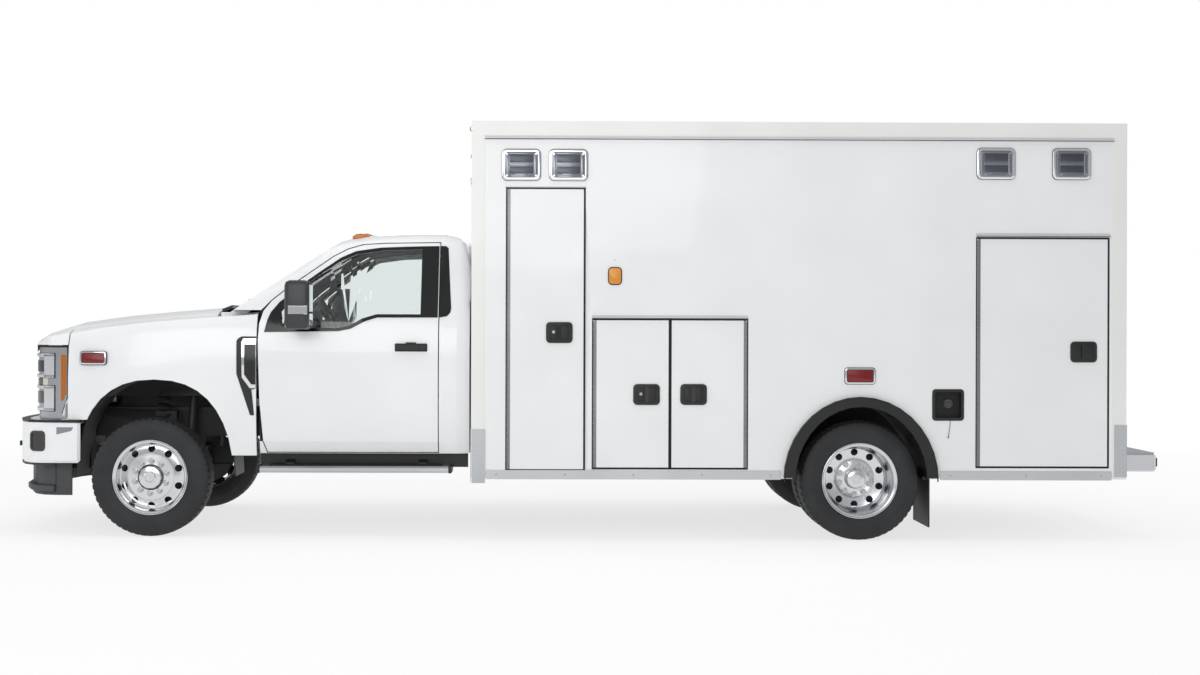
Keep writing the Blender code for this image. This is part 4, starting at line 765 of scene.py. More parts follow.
# Window surrounds: black mouldings round each door's glass, a sail behind the mirror and a
# panel over the cab's rear pillar. Extruded and moulded plastic, clipped to the panels. The
# gloss black looks wet and picks up the sky.
WINDOW_OUTER = [(0.776, 1.421), (0.795, 1.505), (0.816, 1.560), (0.871, 1.630), (1.011, 1.750)]
WINDOW_OUTER += [(1.151, 1.854), (1.291, 1.951), (1.396, 1.997), (1.572, 2.022), (1.853, 2.032)]
WINDOW_OUTER += [(1.983, 2.034), (1.983, 1.526), (1.559, 1.525), (1.468, 1.495)]
WINDOW_OUTER += [(1.377, 1.446), (1.293, 1.429)]
WINDOW_INNER = [(0.905, 1.452), (0.935, 1.668), (1.151, 1.830), (1.291, 1.925), (1.400, 1.972)]
WINDOW_INNER += [(1.600, 2.000), (1.862, 2.008), (1.862, 1.548), (1.555, 1.548)]
WINDOW_INNER += [(1.455, 1.518), (1.370, 1.468), (1.285, 1.450)]
PILLAR_PANEL = [(1.993, 2.034), (2.030, 2.034), (2.048, 2.020), (2.062, 1.800), (2.076, 1.590)]
PILLAR_PANEL += [(2.070, 1.560), (2.046, 1.535), (1.993, 1.527)]
# Outlines are dropped onto the vehicle's side from this far out, over this reach.
DROP_FROM, DROP_REACH = -1.6, 0.9
# A moulding is cut into pieces of this size so that it follows the curved side.
MOULDING_STEP = 0.05


def surface_of(*nodes):
    """The CAD skins' faces as one tree for dropping outlines onto."""
    verts = []
    faces = []
    for node in nodes:
        mesh = frame["nodes"][node].data
        start = len(verts)
        verts += [v.co - Vector((AXLE_X, 0, 0)) for v in mesh.vertices]
        faces += [[start + k for k in p.vertices] for p in mesh.polygons]
    return BVHTree.FromPolygons(verts, faces)


def outline_face(bm, loops):
    """A flat filled outline, with holes, from (x, z) loops."""
    edges = []
    for loop in loops:
        verts = [bm.verts.new((x, 0, z)) for x, z in loop]
        edges += [bm.edges.new((a, b)) for a, b in zip(verts, verts[1:] + verts[:1])]
    bmesh.ops.triangle_fill(bm, use_beauty=True, edges=edges)


def sliced(bm, step):
    """Cuts the mesh by upright and level planes so that it can follow a curve."""
    xs = [v.co.x for v in bm.verts]
    zs = [v.co.z for v in bm.verts]
    for low, high, normal in ((min(xs), max(xs), (1, 0, 0)), (min(zs), max(zs), (0, 0, 1))):
        count = int((high - low) / step)
        for k in range(1, count + 1):
            at = Vector(normal) * (low + (high - low) * k / (count + 1))
            bmesh.ops.bisect_plane(bm, geom=everything(bm), plane_co=at, plane_no=normal)


def laid_on(loops, tree, lift, thick):
    """A left-hand moulding: outlines dropped onto the cab's side and given thickness."""
    bm = bmesh.new()
    outline_face(bm, loops)
    sliced(bm, MOULDING_STEP)
    for vert in bm.verts:
        ray = Vector((vert.co.x, DROP_FROM, vert.co.z))
        hit = tree.ray_cast(ray, Vector((0, 1, 0)), DROP_REACH)[0]
        if hit is None:
            hit = tree.find_nearest(Vector((vert.co.x, -1.0, vert.co.z)))[0]
        vert.co.y = hit.y - lift
    bmesh.ops.recalc_face_normals(bm, faces=bm.faces)
    if sum(face.normal.y for face in bm.faces) > 0:
        bmesh.ops.reverse_faces(bm, faces=bm.faces)
    drawn_out(bm, bm.faces[:], (0, -thick, 0))
    bmesh.ops.recalc_face_normals(bm, faces=bm.faces)
    return bm


def other_side(bm):
    """The same mesh on the vehicle's right."""
    copy = bm.copy()
    bmesh.ops.scale(copy, vec=(1, -1, 1), verts=copy.verts)
    bmesh.ops.reverse_faces(copy, faces=copy.faces)
    return copy


def both_hands(bm, stem, body, finish, **how):
    """A left-hand mesh as a left and a right piece, on bodies with those endings."""
    right = other_side(bm)
    bodies = (body, body) if body in frame["bodies"] else (body + "_left", body + "_right")
    return (
        build(bm, stem + "_left", bodies[0], finish, **how),
        build(right, stem + "_right", bodies[1], finish, **how),
    )


door_surface = surface_of("cab_door_left")
cab_surface = surface_of("cab_shell")
gloss_black = speckled("gloss_black_moulding", "0B0C0D", "131415", 3, 0.22, 0.03)
moulding = laid_on([WINDOW_OUTER, WINDOW_INNER], door_surface, -0.002, 0.005)
both_hands(moulding, "window_surround", "cab_door", gloss_black)
pillar = laid_on([PILLAR_PANEL], cab_surface, -0.002, 0.005)
both_hands(pillar, "rear_pillar_panel", "root", gloss_black)

# Door handles: moulded black pull handles on gaskets, with a lock cap at the rear end.
# The gasket, the grip with its two feet, the lock cap and the finger pad are one moulding.
HANDLE_X, HANDLE_Z = (1.688, 1.914), (1.288, 1.345)
HANDLE_MIDDLE = (1.8, 1.316)


def block(bm, x, y, z):
    """A box between two X, two Y and two Z."""
    sides = (x[1] - x[0], y[1] - y[0], z[1] - z[0])
    middle = ((x[0] + x[1]) / 2, (y[0] + y[1]) / 2, (z[0] + z[1]) / 2)
    matrix = Matrix.Translation(middle) @ Matrix.Diagonal((*sides, 1))
    bmesh.ops.create_cube(bm, size=1, matrix=matrix)


handle = bmesh.new()
(hx0, hx1), (hz0, hz1) = HANDLE_X, HANDLE_Z
start = Vector((HANDLE_MIDDLE[0], DROP_FROM, HANDLE_MIDDLE[1]))
y0 = door_surface.ray_cast(start, Vector((0, 1, 0)))[0].y
block(handle, (hx0, hx1), (y0 - 0.008, y0 + 0.004), (hz0, hz1))
block(handle, (hx0 + 0.010, hx0 + 0.170), (y0 - 0.036, y0 - 0.020), (hz0 + 0.010, hz1 - 0.006))
block(handle, (hx0 + 0.010, hx0 + 0.032), (y0 - 0.030, y0), (hz0 + 0.012, hz1 - 0.008))
block(handle, (hx1 - 0.060, hx1 - 0.006), (y0 - 0.034, y0), (hz0 + 0.008, hz1 - 0.004))
block(handle, (hx0 + 0.075, hx0 + 0.150), (y0 - 0.014, y0), (hz1 - 0.010, hz1 + 0.008))
both_hands(handle, "door_handle", "cab_door", black_trim, bevel=0.007, segments=3)

# Door mirrors: tall moulded housings on two arms, with a chromed band and flat glass behind.
# The shell is matt charcoal plastic; the chrome and the silvered glass mirror what is round them.
MIRROR_BOX = ((0.965, 1.135), (-1.325, -1.115), (1.440, 1.775))
MIRROR_BAND_Z = (1.541, 1.604)
mirror_shell = speckled("mirror_shell_charcoal", "2B2D2F", "3A3C3E", 1.4, 0.4, 0.15)
chrome = speckled("chromed_plastic", "D9DBDD", "E4E6E8", 12, 0.08, 0.0, 1.0)
silvered = speckled("silvered_mirror_glass", "E6E8EA", "EEF0F2", 20, 0.03, 0.0, 1.0)
for node in ("mirror_left", "mirror_right"):
    housing = welded_copy(node, angle=60)
    edge = housing.modifiers.new("edge", "BEVEL")
    edge.width = 0.012
    edge.segments = 3
    edge.limit_method = "ANGLE"
    coat(housing, mirror_shell)
(mx0, mx1), (my0, my1), (mz0, mz1) = MIRROR_BOX
band = bmesh.new()
block(band, (mx0 + 0.028, mx1 - 0.010), (my0 - 0.0003, my0 + 0.02), MIRROR_BAND_Z)
both_hands(band, "mirror_chrome_band", "cab_door", chrome, bevel=0.006, segments=3)
pane = bmesh.new()
for low, high in ((mz0 + 0.120, mz1 - 0.030), (mz0 + 0.030, mz0 + 0.108)):
    block(pane, (mx1 - 0.004, mx1 + 0.002), (my0 + 0.030, my1 - 0.028), (low, high))
both_hands(pane, "mirror_glass", "cab_door", silvered, bevel=0.004)

# Front end: shared ways to make rounded plates and outlines lie on a face of the vehicle.
# Lamps, grille and bumper below are built from them; all are moulded or pressed and clipped on.
EDGE_BEVEL = {"profile": 0.5, "affect": "EDGES", "material": -1}


def facing(side, x, y, z):
    """A frame on a face of the vehicle: local X along it, local Y up it, local Z out."""
    axes = {
        "left": ((1, 0, 0), (0, 0, 1), (0, -1, 0)),
        "right": ((-1, 0, 0), (0, 0, 1), (0, 1, 0)),
        "front": ((0, -1, 0), (0, 0, 1), (-1, 0, 0)),
        "rear": ((0, 1, 0), (0, 0, 1), (1, 0, 0)),
        "top": ((1, 0, 0), (0, 1, 0), (0, 0, 1)),
    }[side]
    return Matrix.Translation((x, y, z)) @ Matrix(axes).transposed().to_4x4()


def leaning(place, direction):
    """A frame at a point whose local Z points in a direction and whose local Y is upright."""
    out = Vector(direction).normalized()
    along = Vector((0, 0, 1)).cross(out).normalized()
    rows = (along, out.cross(along), out)
    return Matrix.Translation(place) @ Matrix(rows).transposed().to_4x4()


def joined(parts):
    """Several meshes as one."""
    whole = bmesh.new()
    for part in parts:
        mesh = bpy.data.meshes.new("part")
        part.to_mesh(mesh)
        part.free()
        whole.from_mesh(mesh)
        bpy.data.meshes.remove(mesh)
    return whole


def plate(centre, size, low, high, corner, top_bevel=0.0):
    """A rectangular plate with rounded corners, from one depth to another, at the origin."""
    bm = bmesh.new()
    shift = Matrix.Translation((*centre, (low + high) / 2))
    bmesh.ops.create_cube(bm, size=1, matrix=shift @ Matrix.Diagonal((*size, high - low, 1)))
    half = (high - low) / 2
    upright = [e for e in bm.edges if abs(e.verts[0].co.z - e.verts[1].co.z) > half]
    bmesh.ops.bevel(bm, geom=upright, offset=corner, segments=5, **EDGE_BEVEL)
    if top_bevel:
        rim = [e for e in bm.edges if min(v.co.z for v in e.verts) > high - 1e-5]
        bmesh.ops.bevel(bm, geom=rim, offset=top_bevel, segments=2, **EDGE_BEVEL)
    return bm


def plates(place, rows):
    """Plates on one face. Columns: centre, size, low, high, corner, top bevel."""
    whole = joined([plate(*row) for row in rows])
    bmesh.ops.transform(whole, matrix=place, verts=whole.verts)
    return whole


def ring_plate(place, outer, inner, low, high, corner, inner_corner):
    """A rounded frame: a plate with a rounded window through it."""
    blank = plate((0, 0), outer, low, high, corner, 0.002)
    hole = plate((0, 0), inner, low - 0.01, high + 0.01, inner_corner)
    bm = cut_away(blank, hole)
    bmesh.ops.transform(bm, matrix=place, verts=bm.verts)
    return bm


def slab_of(loop, axis, low, high):
    """A flat outline of (a, b) drawn out along an axis: X, Y or Z is left out of the pair."""
    bm = bmesh.new()
    at = "xyz".index(axis)
    spots = [[*pair[:at], low, *pair[at:]] for pair in loop]
    face = bm.faces.new([bm.verts.new(spot) for spot in spots])
    drawn_out(bm, [face], Vector([high - low if letter == axis else 0 for letter in "xyz"]))
    bmesh.ops.recalc_face_normals(bm, faces=bm.faces)
    return bm


def normals(rows):
    """The outward direction at each point of a plan that runs from the middle to the left rear."""
    found = []
    for k in range(len(rows)):
        a, b = rows[max(0, k - 1)], rows[min(len(rows) - 1, k + 1)]
        run = Vector((b[0] - a[0], b[1] - a[1])).normalized()
        found.append((run.y, -run.x))
    return found


def banded(rows, depths, heights):
    """A band that follows a plan of (x, y) rows on the left side, set out by two depths."""
    loops = []
    for depth in depths:
        pairs = zip(rows, normals(rows))
        loops.append([(x + depth * nx, y + depth * ny) for (x, y), (nx, ny) in pairs])
    return slab_of(loops[1] + loops[0][::-1], "z", *heights)


# Headlamps: a metallised housing behind the fender's edge, with two C-shaped bezels that wrap
# round the corner, a black-framed lens in each, projector lamps and an amber marker strip.
# Plan of the lamp's face, (x, y) from beside the grille round to its rear edge
LAMP_FACE = [(-0.884, -0.512), (-0.8805, -0.560), (-0.872, -0.700), (-0.8386, -0.8034)]
LAMP_FACE += [(-0.826, -0.8335), (-0.789, -0.8662), (-0.772, -0.8812), (-0.745, -0.905)]
LAMP_FACE += [(-0.6977, -0.9164), (-0.6525, -0.9273), (-0.6117, -0.9372), (-0.6035, -0.939)]
# Each bezel's low and high edge, and the low and high edge of its black lens
BEZELS = [(1.0964, 1.2655, 1.1366, 1.2176), (0.8639, 1.0401, 0.9175, 1.0027)]
BEZEL_BAR = 0.023
BEZEL_DEPTHS = (-0.004, 0.016)
# The charcoal band round the bezels, painted shadow for the shade line round them, ends short of the
# fender.
LAMP_SHADOW_END = (-0.6935, -0.9174)
PROJECTOR_X, PROJECTOR_Y = -0.8765, -0.628
PROJECTOR_DIRECTION = (-1.0, -0.062, 0)
PROJECTOR_GLOBE = 0.038
# The projector lamp's ring, outwards: radius and height off the lamp's face
PROJECTOR_RIM = [(0.040, 0.001), (0.055, 0.001), (0.055, 0.012), (0.050, 0.016), (0.044, 0.014)]
PROJECTOR_RIM += [(0.040, 0.001)]
# Metallised plastic is a dim mirror and the bezels a brighter, satin one; the lenses are black
# and wet-looking, and the light guides are milky.
lamp_silver = speckled("metallised_lamp_housing", "A2A5A9", "B4B7BB", 30, 0.24, 0.03, 1.0)
bezel_silver = speckled("bezel_satin_chrome", "D2D3D6", "DEDFE2", 30, 0.2, 0.02, 1.0)
lens_black = speckled("lens_deep_black", "050506", "0A0B0C", 4, 0.12, 0.0, 0.0, 0.6)
guide_cream = speckled("light_guide_cream", "CBC6BB", "D6D2C8", 8, 0.4, 0.05)


def tinted_lens(name, colour, rib_mm):
    """Ribbed coloured plastic that catches light inside: markers and reflectors."""
    material, tree = blank_material(name)
    place = add(tree, "ShaderNodeTexCoord")
    ribs = add(
        tree,
        "ShaderNodeTexWave",
        [("Vector", place, "Object")],
        wave_type="BANDS",
        bands_direction="X",
        Scale=math.tau / 20 / (rib_mm / 1000),
    )
    relief = add(tree, "ShaderNodeBump", [("Height", ribs, "Fac")], Strength=0.35, Distance=0.0006)
    shader = add(
        tree,
        "ShaderNodeBsdfPrincipled",
        [("Normal", relief, "Normal")],
        Base_Color=linear(colour),
        Roughness=0.14,
        IOR=1.49,
        Coat_Weight=0.2,
        Subsurface_Weight=0.15,
    )
    return surfaced(material, shader)


# Gasket rubber is dull black; the lenses glow a little at their ribs.
gasket_rubber = speckled("gasket_rubber", "0C0D0E", "151617", 3, 0.7, 0.2)
amber_lens = tinted_lens("amber_marker_lens", "B86410", 4)
red_lens = tinted_lens("red_marker_lens", "780208", 4)
for node in ("headlamp_left", "headlamp_right"):
    coat(welded_copy(node), lamp_silver)
lamp_surface = surface_of("headlamp_left")

bezels = []
bezel_shadows = []
lenses = []
inner = []
for low, high, lens_low, lens_high in BEZELS:
    bezels.append(banded(LAMP_FACE[1:9], BEZEL_DEPTHS, (high - BEZEL_BAR, high)))
    bezels.append(banded(LAMP_FACE[1:9], BEZEL_DEPTHS, (low, low + BEZEL_BAR)))
    bezels.append(banded(LAMP_FACE[6:9], BEZEL_DEPTHS, (low + 0.002, high - 0.002)))
    bezels.append(banded(LAMP_FACE[0:2], BEZEL_DEPTHS, (low, high)))
    # Each bezel gets a charcoal band just behind it and a little larger than it: painted shadow
    # round the bezel.
    shadow_rows = LAMP_FACE[0:8] + [LAMP_SHADOW_END]
    bezel_shadows.append(banded(shadow_rows, (-0.004, 0.0020), (low - 0.0045, high + 0.0045)))
    lenses.append(banded(LAMP_FACE[3:7], (0.000, 0.0125), (lens_low, lens_high)))
    inner.append(banded(LAMP_FACE[1:8], (0.001, 0.0040), (low + 0.012, high - 0.012)))
both_hands(joined(bezels), "lamp_bezels", "root", bezel_silver, bevel=0.004, segments=3)
strip_z = (BEZELS[1][1] + 0.004, BEZELS[0][0] - 0.004)
lenses.append(banded(LAMP_FACE[3:6], (0.000, 0.010), strip_z))
both_hands(joined(lenses), "lamp_lens_frames", "root", lens_black, bevel=0.003)
# The charcoal bands round the bezels are painted shadow.
both_hands(joined(bezel_shadows), "lamp_recesses", "root", mirror_shell, bevel=0.001)
both_hands(joined(inner), "lamp_reflectors", "root", lamp_silver)
guide = banded(LAMP_FACE[5:8], (0.000, 0.010), strip_z)
both_hands(guide, "lamp_light_guides", "root", guide_cream, bevel=0.002)

rings = []
globes = bmesh.new()
for low, high, _, _ in BEZELS:
    place = leaning((PROJECTOR_X, PROJECTOR_Y, (low + high) / 2), PROJECTOR_DIRECTION)
    ring = bmesh.new()
    spun(ring, PROJECTOR_RIM, (0, 0, 0), 48)
    outward = place @ Matrix.Rotation(math.pi / 2, 4, "X")
    bmesh.ops.transform(ring, matrix=outward, verts=ring.verts)
    bmesh.ops.recalc_face_normals(ring, faces=ring.faces)
    rings.append(ring)
    flat = place @ Matrix.Translation((0, 0, 0.003)) @ Matrix.Diagonal((1, 1, 0.34, 1))
    sizes = {"u_segments": 32, "v_segments": 16, "radius": PROJECTOR_GLOBE}
    bmesh.ops.create_uvsphere(globes, matrix=flat, **sizes)
both_hands(joined(rings), "projector_rings", "root", bezel_silver)
both_hands(globes, "projector_lenses", "root", silvered)

AMBER_STRIP = [(-0.6525, 1.2585), (-0.6117, 1.2585), (-0.6117, 0.995), (-0.634, 0.938)]
AMBER_STRIP += [(-0.6525, 0.935)]
LAMP_EDGE = [(-0.6055, 1.318), (-0.6005, 1.318), (-0.6005, 0.962), (-0.6550, 0.803)]
LAMP_EDGE += [(-0.6620, 0.803), (-0.6055, 0.966)]
FENDER_TOE = [(-0.6005, 0.960), (-0.6005, 0.803), (-0.6545, 0.803)]
# Columns: name, outline, thickness, finish
LAMP_TRIMS = [
    ("amber_marker_strip", AMBER_STRIP, 0.003, amber_lens),
    ("lamp_edge_seal", LAMP_EDGE, 0.0022, gasket_rubber),
    ("fender_toe", FENDER_TOE, 0.0034, white_enamel),
]
for name, loop, thick, finish in LAMP_TRIMS:
    both_hands(laid_on([loop], lamp_surface, -0.001, thick), name, "root", finish)
brow = banded(LAMP_FACE[2:12], (-0.004, 0.0022), (1.309, 1.3195))
both_hands(brow, "lamp_top_seal", "root", gasket_rubber)

# Grille: a satin surround with three openings, upright bars and a black wire mesh behind them.
# Moulded and plated plastic; the mesh is welded wire in front of a black sheet.
GRILLE_HALF = 0.448
WIRE_HALF = 0.0016
WIRE_PITCH = 0.021
BRIGHT_BARS_Z = (0.9975, 1.1225)
coat(welded_copy("grille"), bezel_silver)
mesh_bars = bmesh.new()
for k in range(43):
    y = WIRE_PITCH * k - 0.441
    block(mesh_bars, (-0.792, -0.788), (y - WIRE_HALF, y + WIRE_HALF), (0.835, 1.285))
for k in range(22):
    z = WIRE_PITCH * k + 0.845
    across = (-GRILLE_HALF, GRILLE_HALF)
    block(mesh_bars, (-0.795, -0.791), across, (z - WIRE_HALF, z + WIRE_HALF))
block(mesh_bars, (-0.766, -0.764), (-GRILLE_HALF, GRILLE_HALF), (0.83, 1.29))
build(mesh_bars, "grille_mesh", "root", black_trim)
ribs = bmesh.new()
for z in BRIGHT_BARS_Z:
    block(ribs, (-0.9085, -0.9035), (-0.470, 0.470), (z - 0.016, z + 0.016))
build(ribs, "grille_bright_bars", "root", chrome, bevel=0.004)

# Bumper: painted pressed steel with a black step pad on top, fog lamps, a slot each side and
# two tow hooks. Below it hangs the moulded air dam, grey and finely grained, with its lip.
coat(welded_copy("front_bumper"), white_enamel)
valance_grey = speckled("valance_grey_plastic", "3C3E40", "4A4C4F", 1.4, 0.6, 0.3)
coat(welded_copy("front_air_dam"), valance_grey)
BUMPER_FACE = [(-1.0515, 0.0), (-1.047, -0.40), (-1.018, -0.62), (-0.950, -0.82), (-0.870, -0.94)]
BUMPER_FACE += [(-0.740, -0.995), (-0.502, -1.005)]
pad = banded(BUMPER_FACE, (-0.055, 0.0030), (0.787, 0.8020))
mirrored(pad)
build(pad, "bumper_step_pad", "root", black_trim, bevel=0.002)
bumper_surface = surface_of("front_bumper")
FOG_PLACE = (-0.8000, -0.9705, 0.6570)
FOG_DIRECTION = (-0.39, -0.92, 0)
fog = leaning(FOG_PLACE, FOG_DIRECTION)
housing = ring_plate(fog, (0.128, 0.142), (0.098, 0.112), -0.006, 0.006, 0.030, 0.020)
both_hands(housing, "fog_lamp_bezels", "root", mirror_shell)
well = plates(fog, [((0, 0), (0.106, 0.120), -0.004, 0.0012, 0.020, 0)])
both_hands(well, "fog_lamp_wells", "root", lens_black)
slot_grey = speckled("slot_insert_grey", "7A8089", "878D96", 3, 0.5, 0.1)
SLOT = [(-0.6620, 0.7545), (-0.5440, 0.7545), (-0.5580, 0.7290), (-0.6620, 0.7040)]
both_hands(laid_on([SLOT], bumper_surface, -0.001, 0.0022), "bumper_slots", "root", slot_grey)
HOOK_Y = -0.560
HOOK_BARS_Z = (0.606, 0.622)
hooks = bmesh.new()
for z in HOOK_BARS_Z:
    bar(hooks, (-1.000, HOOK_Y, z), (-1.050, HOOK_Y, z), 0.010, 16)
block(hooks, (-1.0535, -1.040), (HOOK_Y - 0.012, HOOK_Y + 0.012), (0.596, 0.632))
both_hands(hooks, "tow_hooks", "root", black_trim, bevel=0.003)
DAM_FACE = [(-0.985, 0.0), (-0.980, -0.40), (-0.945, -0.60), (-0.875, -0.76), (-0.790, -0.845)]
DAM_FACE += [(-0.700, -0.870)]
lip = banded(DAM_FACE, (-0.004, 0.034), (0.296, 0.340))
mirrored(lip)
build(lip, "air_dam_lip", "root", valance_grey, bevel=0.010, segments=3)
rib = banded(DAM_FACE[4:6], (-0.002, 0.012), (0.338, 0.496))
both_hands(rib, "air_dam_ribs", "root", valance_grey, bevel=0.008, segments=3)

# Fender trim: a black vent surround with a bright bracket and a plain black panel in it, and a
# red marker lamp in a chromed bezel. All are moulded plastic, clipped or screwed on.
fender_surface = surface_of("fender_left")
VENT = [(0.5990, 1.3770), (0.6230, 1.3900), (0.7235, 1.3900), (0.7235, 1.0290)]
VENT += [(0.6930, 1.0200), (0.7120, 0.8420), (0.6840, 0.8420), (0.6120, 1.0600)]
VENT += [(0.5890, 1.1300), (0.5870, 1.3600)]
BRIGHT = [(0.6340, 1.3750), (0.7225, 1.3780), (0.7225, 1.0320), (0.6830, 1.0300)]
BRIGHT += [(0.6270, 1.1050), (0.6220, 1.3500)]
VENT_PANEL = [(0.6420, 1.3350), (0.7215, 1.3350), (0.7215, 1.0560), (0.6930, 1.0560)]
VENT_PANEL += [(0.6430, 1.1250)]
# Columns: name, outlines, lift, thickness, finish
VENT_PARTS = [
    ("fender_vents", [VENT], -0.001, 0.0045, black_trim),
    ("vent_brackets", [BRIGHT, VENT_PANEL], 0.003, 0.004, chrome),
    ("vent_panels", [VENT_PANEL], 0.003, 0.0015, gloss_black),
]
for name, loops, lift, thick, finish in VENT_PARTS:
    both_hands(laid_on(loops, fender_surface, lift, thick), name, "root", finish)


def side_marker(stem, body, side, x, y, z, size, tilt=None):
    """A red or amber reflector in a chromed bezel on a black gasket."""
    place = facing(side, x, y, z) if tilt is None else leaning((x, y, z), tilt)
    wide, tall = size
    base = plates(place, [((0, 0), (wide + 0.008, tall + 0.008), -0.006, 0.0025, 0.022, 0)])
    build(base, stem + "_gasket", body, mirror_shell)
    rim = ring_plate(place, size, (wide - 0.022, tall - 0.020), 0.002, 0.012, 0.020, 0.012)
    build(rim, stem + "_bezel", body, chrome)
    lens = plates(place, [((0, 0), (wide - 0.026, tall - 0.024), 0.001, 0.0105, 0.012, 0.003)])
    return build(lens, stem + "_lens", body, red_lens)


FENDER_MARKER = (-0.409, 0.9925, 1.2365)
FENDER_MARKER_SIZE = (0.186, 0.090)
for side, sign in SIDES:
    x, y, z = FENDER_MARKER
    tilt = (-0.10, sign, 0.05)
    side_marker(f"fender_marker_{side}", "root", side, x, sign * y, z, FENDER_MARKER_SIZE, tilt)

# Cowl, wipers and roof marker lamps: a black moulded cowl below the windscreen, two wipers with
# pressed arms and rubber blades, and five amber lamps screwed to the roof's front edge.
screen_surface = surface_of("windscreen", "cab_shell")
SCREEN_OUT = Vector((-0.84, 0, 0.54))
COWL = [(0.446, 1.560), (0.446, 1.584), (0.520, 1.612), (0.520, 1.590)]
WIPER_PIVOTS_Y = (-0.640, 0.060)
BLADE_PIECES = 8
ROOF_MARKER_X = 1.410
ROOF_MARKER_HALF = 0.038
ROOF_MARKERS_Y = (-0.60, -0.22, 0.0, 0.22, 0.60)
build(slab_of(COWL, "y", -0.80, 0.80), "windscreen_cowl", "root", black_trim, bevel=0.003)


def on_screen(y, z, lift):
    """The point this far off the windscreen, ahead of a place (y, z) on it."""
    hit = screen_surface.ray_cast(Vector((-1.5, y, z)), Vector((1, 0, 0)))[0]
    return Vector((hit.x, y, z)) + SCREEN_OUT * lift


arms = bmesh.new()
blades = bmesh.new()
for y in WIPER_PIVOTS_Y:
    pivot = on_screen(y, 1.632, 0.014)
    tip = on_screen(y + 0.330, 1.672, 0.016)
    bar(arms, pivot - SCREEN_OUT * 0.016, pivot + SCREEN_OUT * 0.012, 0.016, 20, 0.012)
    bar(arms, pivot, tip, 0.0065, 8, 0.0045)
    for k in range(BLADE_PIECES):
        steps = (k, k + 1)
        ends = [on_screen(y - 0.060 + 0.070 * n, 1.660 + 0.0016 * n, 0.006) for n in steps]
        bar(blades, ends[0], ends[1], 0.0055, 8)
build(arms, "wiper_arms", "root", black_trim)
build(blades, "wiper_blades", "root", gasket_rubber)

roof_surface = surface_of("cab_shell")
MARKER_SECTION = [(-0.065, -0.010), (-0.062, 0.012), (-0.035, 0.027), (0.000, 0.030)]
MARKER_SECTION += [(0.065, 0.010), (0.065, -0.010)]
for k, y in enumerate(ROOF_MARKERS_Y):
    z = roof_surface.ray_cast(Vector((ROOF_MARKER_X, y, 2.6)), Vector((0, 0, -1)))[0].z
    section = [(ROOF_MARKER_X + a, z + b) for a, b in MARKER_SECTION]
    shell = slab_of(section, "y", y - ROOF_MARKER_HALF, y + ROOF_MARKER_HALF)
    build(shell, f"roof_marker_{k}", "root", amber_lens, bevel=0.009, segments=3)

# Running boards: extruded aluminium boards with black ribbed treads and end caps, on steel brackets
# from the frame. A black panel from each board up to the sill is painted shade for the dark under
# the sill.
board_metal = speckled("board_satin_aluminium", "B9BBBD", "C6C8CA", 2, 0.34, 0.1, 1.0)
BOARD_X, BOARD_Y, BOARD_Z = (0.748, 2.078), (-1.060, -0.860), (0.447, 0.492)
TREAD_PITCH = 0.024
for node in ("running_board_left", "running_board_right"):
    board = coat(welded_copy(node), board_metal)
    # Faces inboard of the board are its black steel brackets. Faces above its top are made black as
    # well: partly the brackets' paint, partly painted shade under the sill.
    board.data.materials.append(chassis_paint)
    for face in board.data.polygons:
        if abs(face.center.y) < 0.855 or face.center.z > 0.4930:
            face.material_index = 1
trim = bmesh.new()
(x0, x1), (y0, y1), (z0, z1) = BOARD_X, BOARD_Y, BOARD_Z
block(trim, (x0 + 0.06, x1 - 0.06), (y0 + 0.022, y1 - 0.020), (0.490, 0.4955))
for k in range(6):
    y = y0 + 0.036 + TREAD_PITCH * k
    block(trim, (x0 + 0.07, x1 - 0.07), (y, y + 0.010), (0.494, 0.4990))
for ends in ((x0 - 0.010, x0 + 0.012), (x1 - 0.012, x1 + 0.010)):
    block(trim, ends, (y0 - 0.002, y1 + 0.002), (z0 - 0.002, z1 + 0.002))
# The black panel from the board up to the sill is painted shade.
block(trim, (0.742, 2.196), (-0.900, -0.886), (0.476, 0.5765))
both_hands(trim, "running_board_trim", "root", black_trim, bevel=0.0025)

# Gap between cab and module: three black strips, stepped like folds, fill the gap as painted shade
# for its dark. A splash shield, moulded in black, stands in front of each front wheel.
GAP_SHADE_FRONT = 2.2075
GAP_SHADE_HALF = 0.905
GAP_SHADE_Z = (0.620, 1.640)
# The black strips across the gap are painted shade.
gap_shade = bmesh.new()
for k in range(3):
    x = GAP_SHADE_FRONT + 0.008 * k
    half = GAP_SHADE_HALF - 0.006 * (k % 2)
    block(gap_shade, (x, x + 0.0075), (-half, half), GAP_SHADE_Z)
build(gap_shade, "cab_gap_painted_shade", "root", gasket_rubber)
SHIELD_Z = (0.440, 0.690)
shields = bmesh.new()
block(shields, (-0.760, -0.520), (-0.640, -0.630), SHIELD_Z)
block(shields, (-0.530, -0.520), (-0.640, -0.500), SHIELD_Z)
both_hands(shields, "splash_shields", "root", black_trim, bevel=0.002)

# Seats: black moulded base, and foam cushions, backs and head restraints in woven grey cloth.
# Each foam part is swollen by its filling in a short cloth run, then channels are sewn in.
SEAT_Y = -0.410
FOAM_VOXEL = 0.012
FOAM_FRAMES = 12
FOAM_PRESSURE = 4.0
FOAM_CAP = 0.012
SEAM_SHIFT = 0.15
SEAM_DEPTH = 0.012
SEAM_WIDTH = 0.012


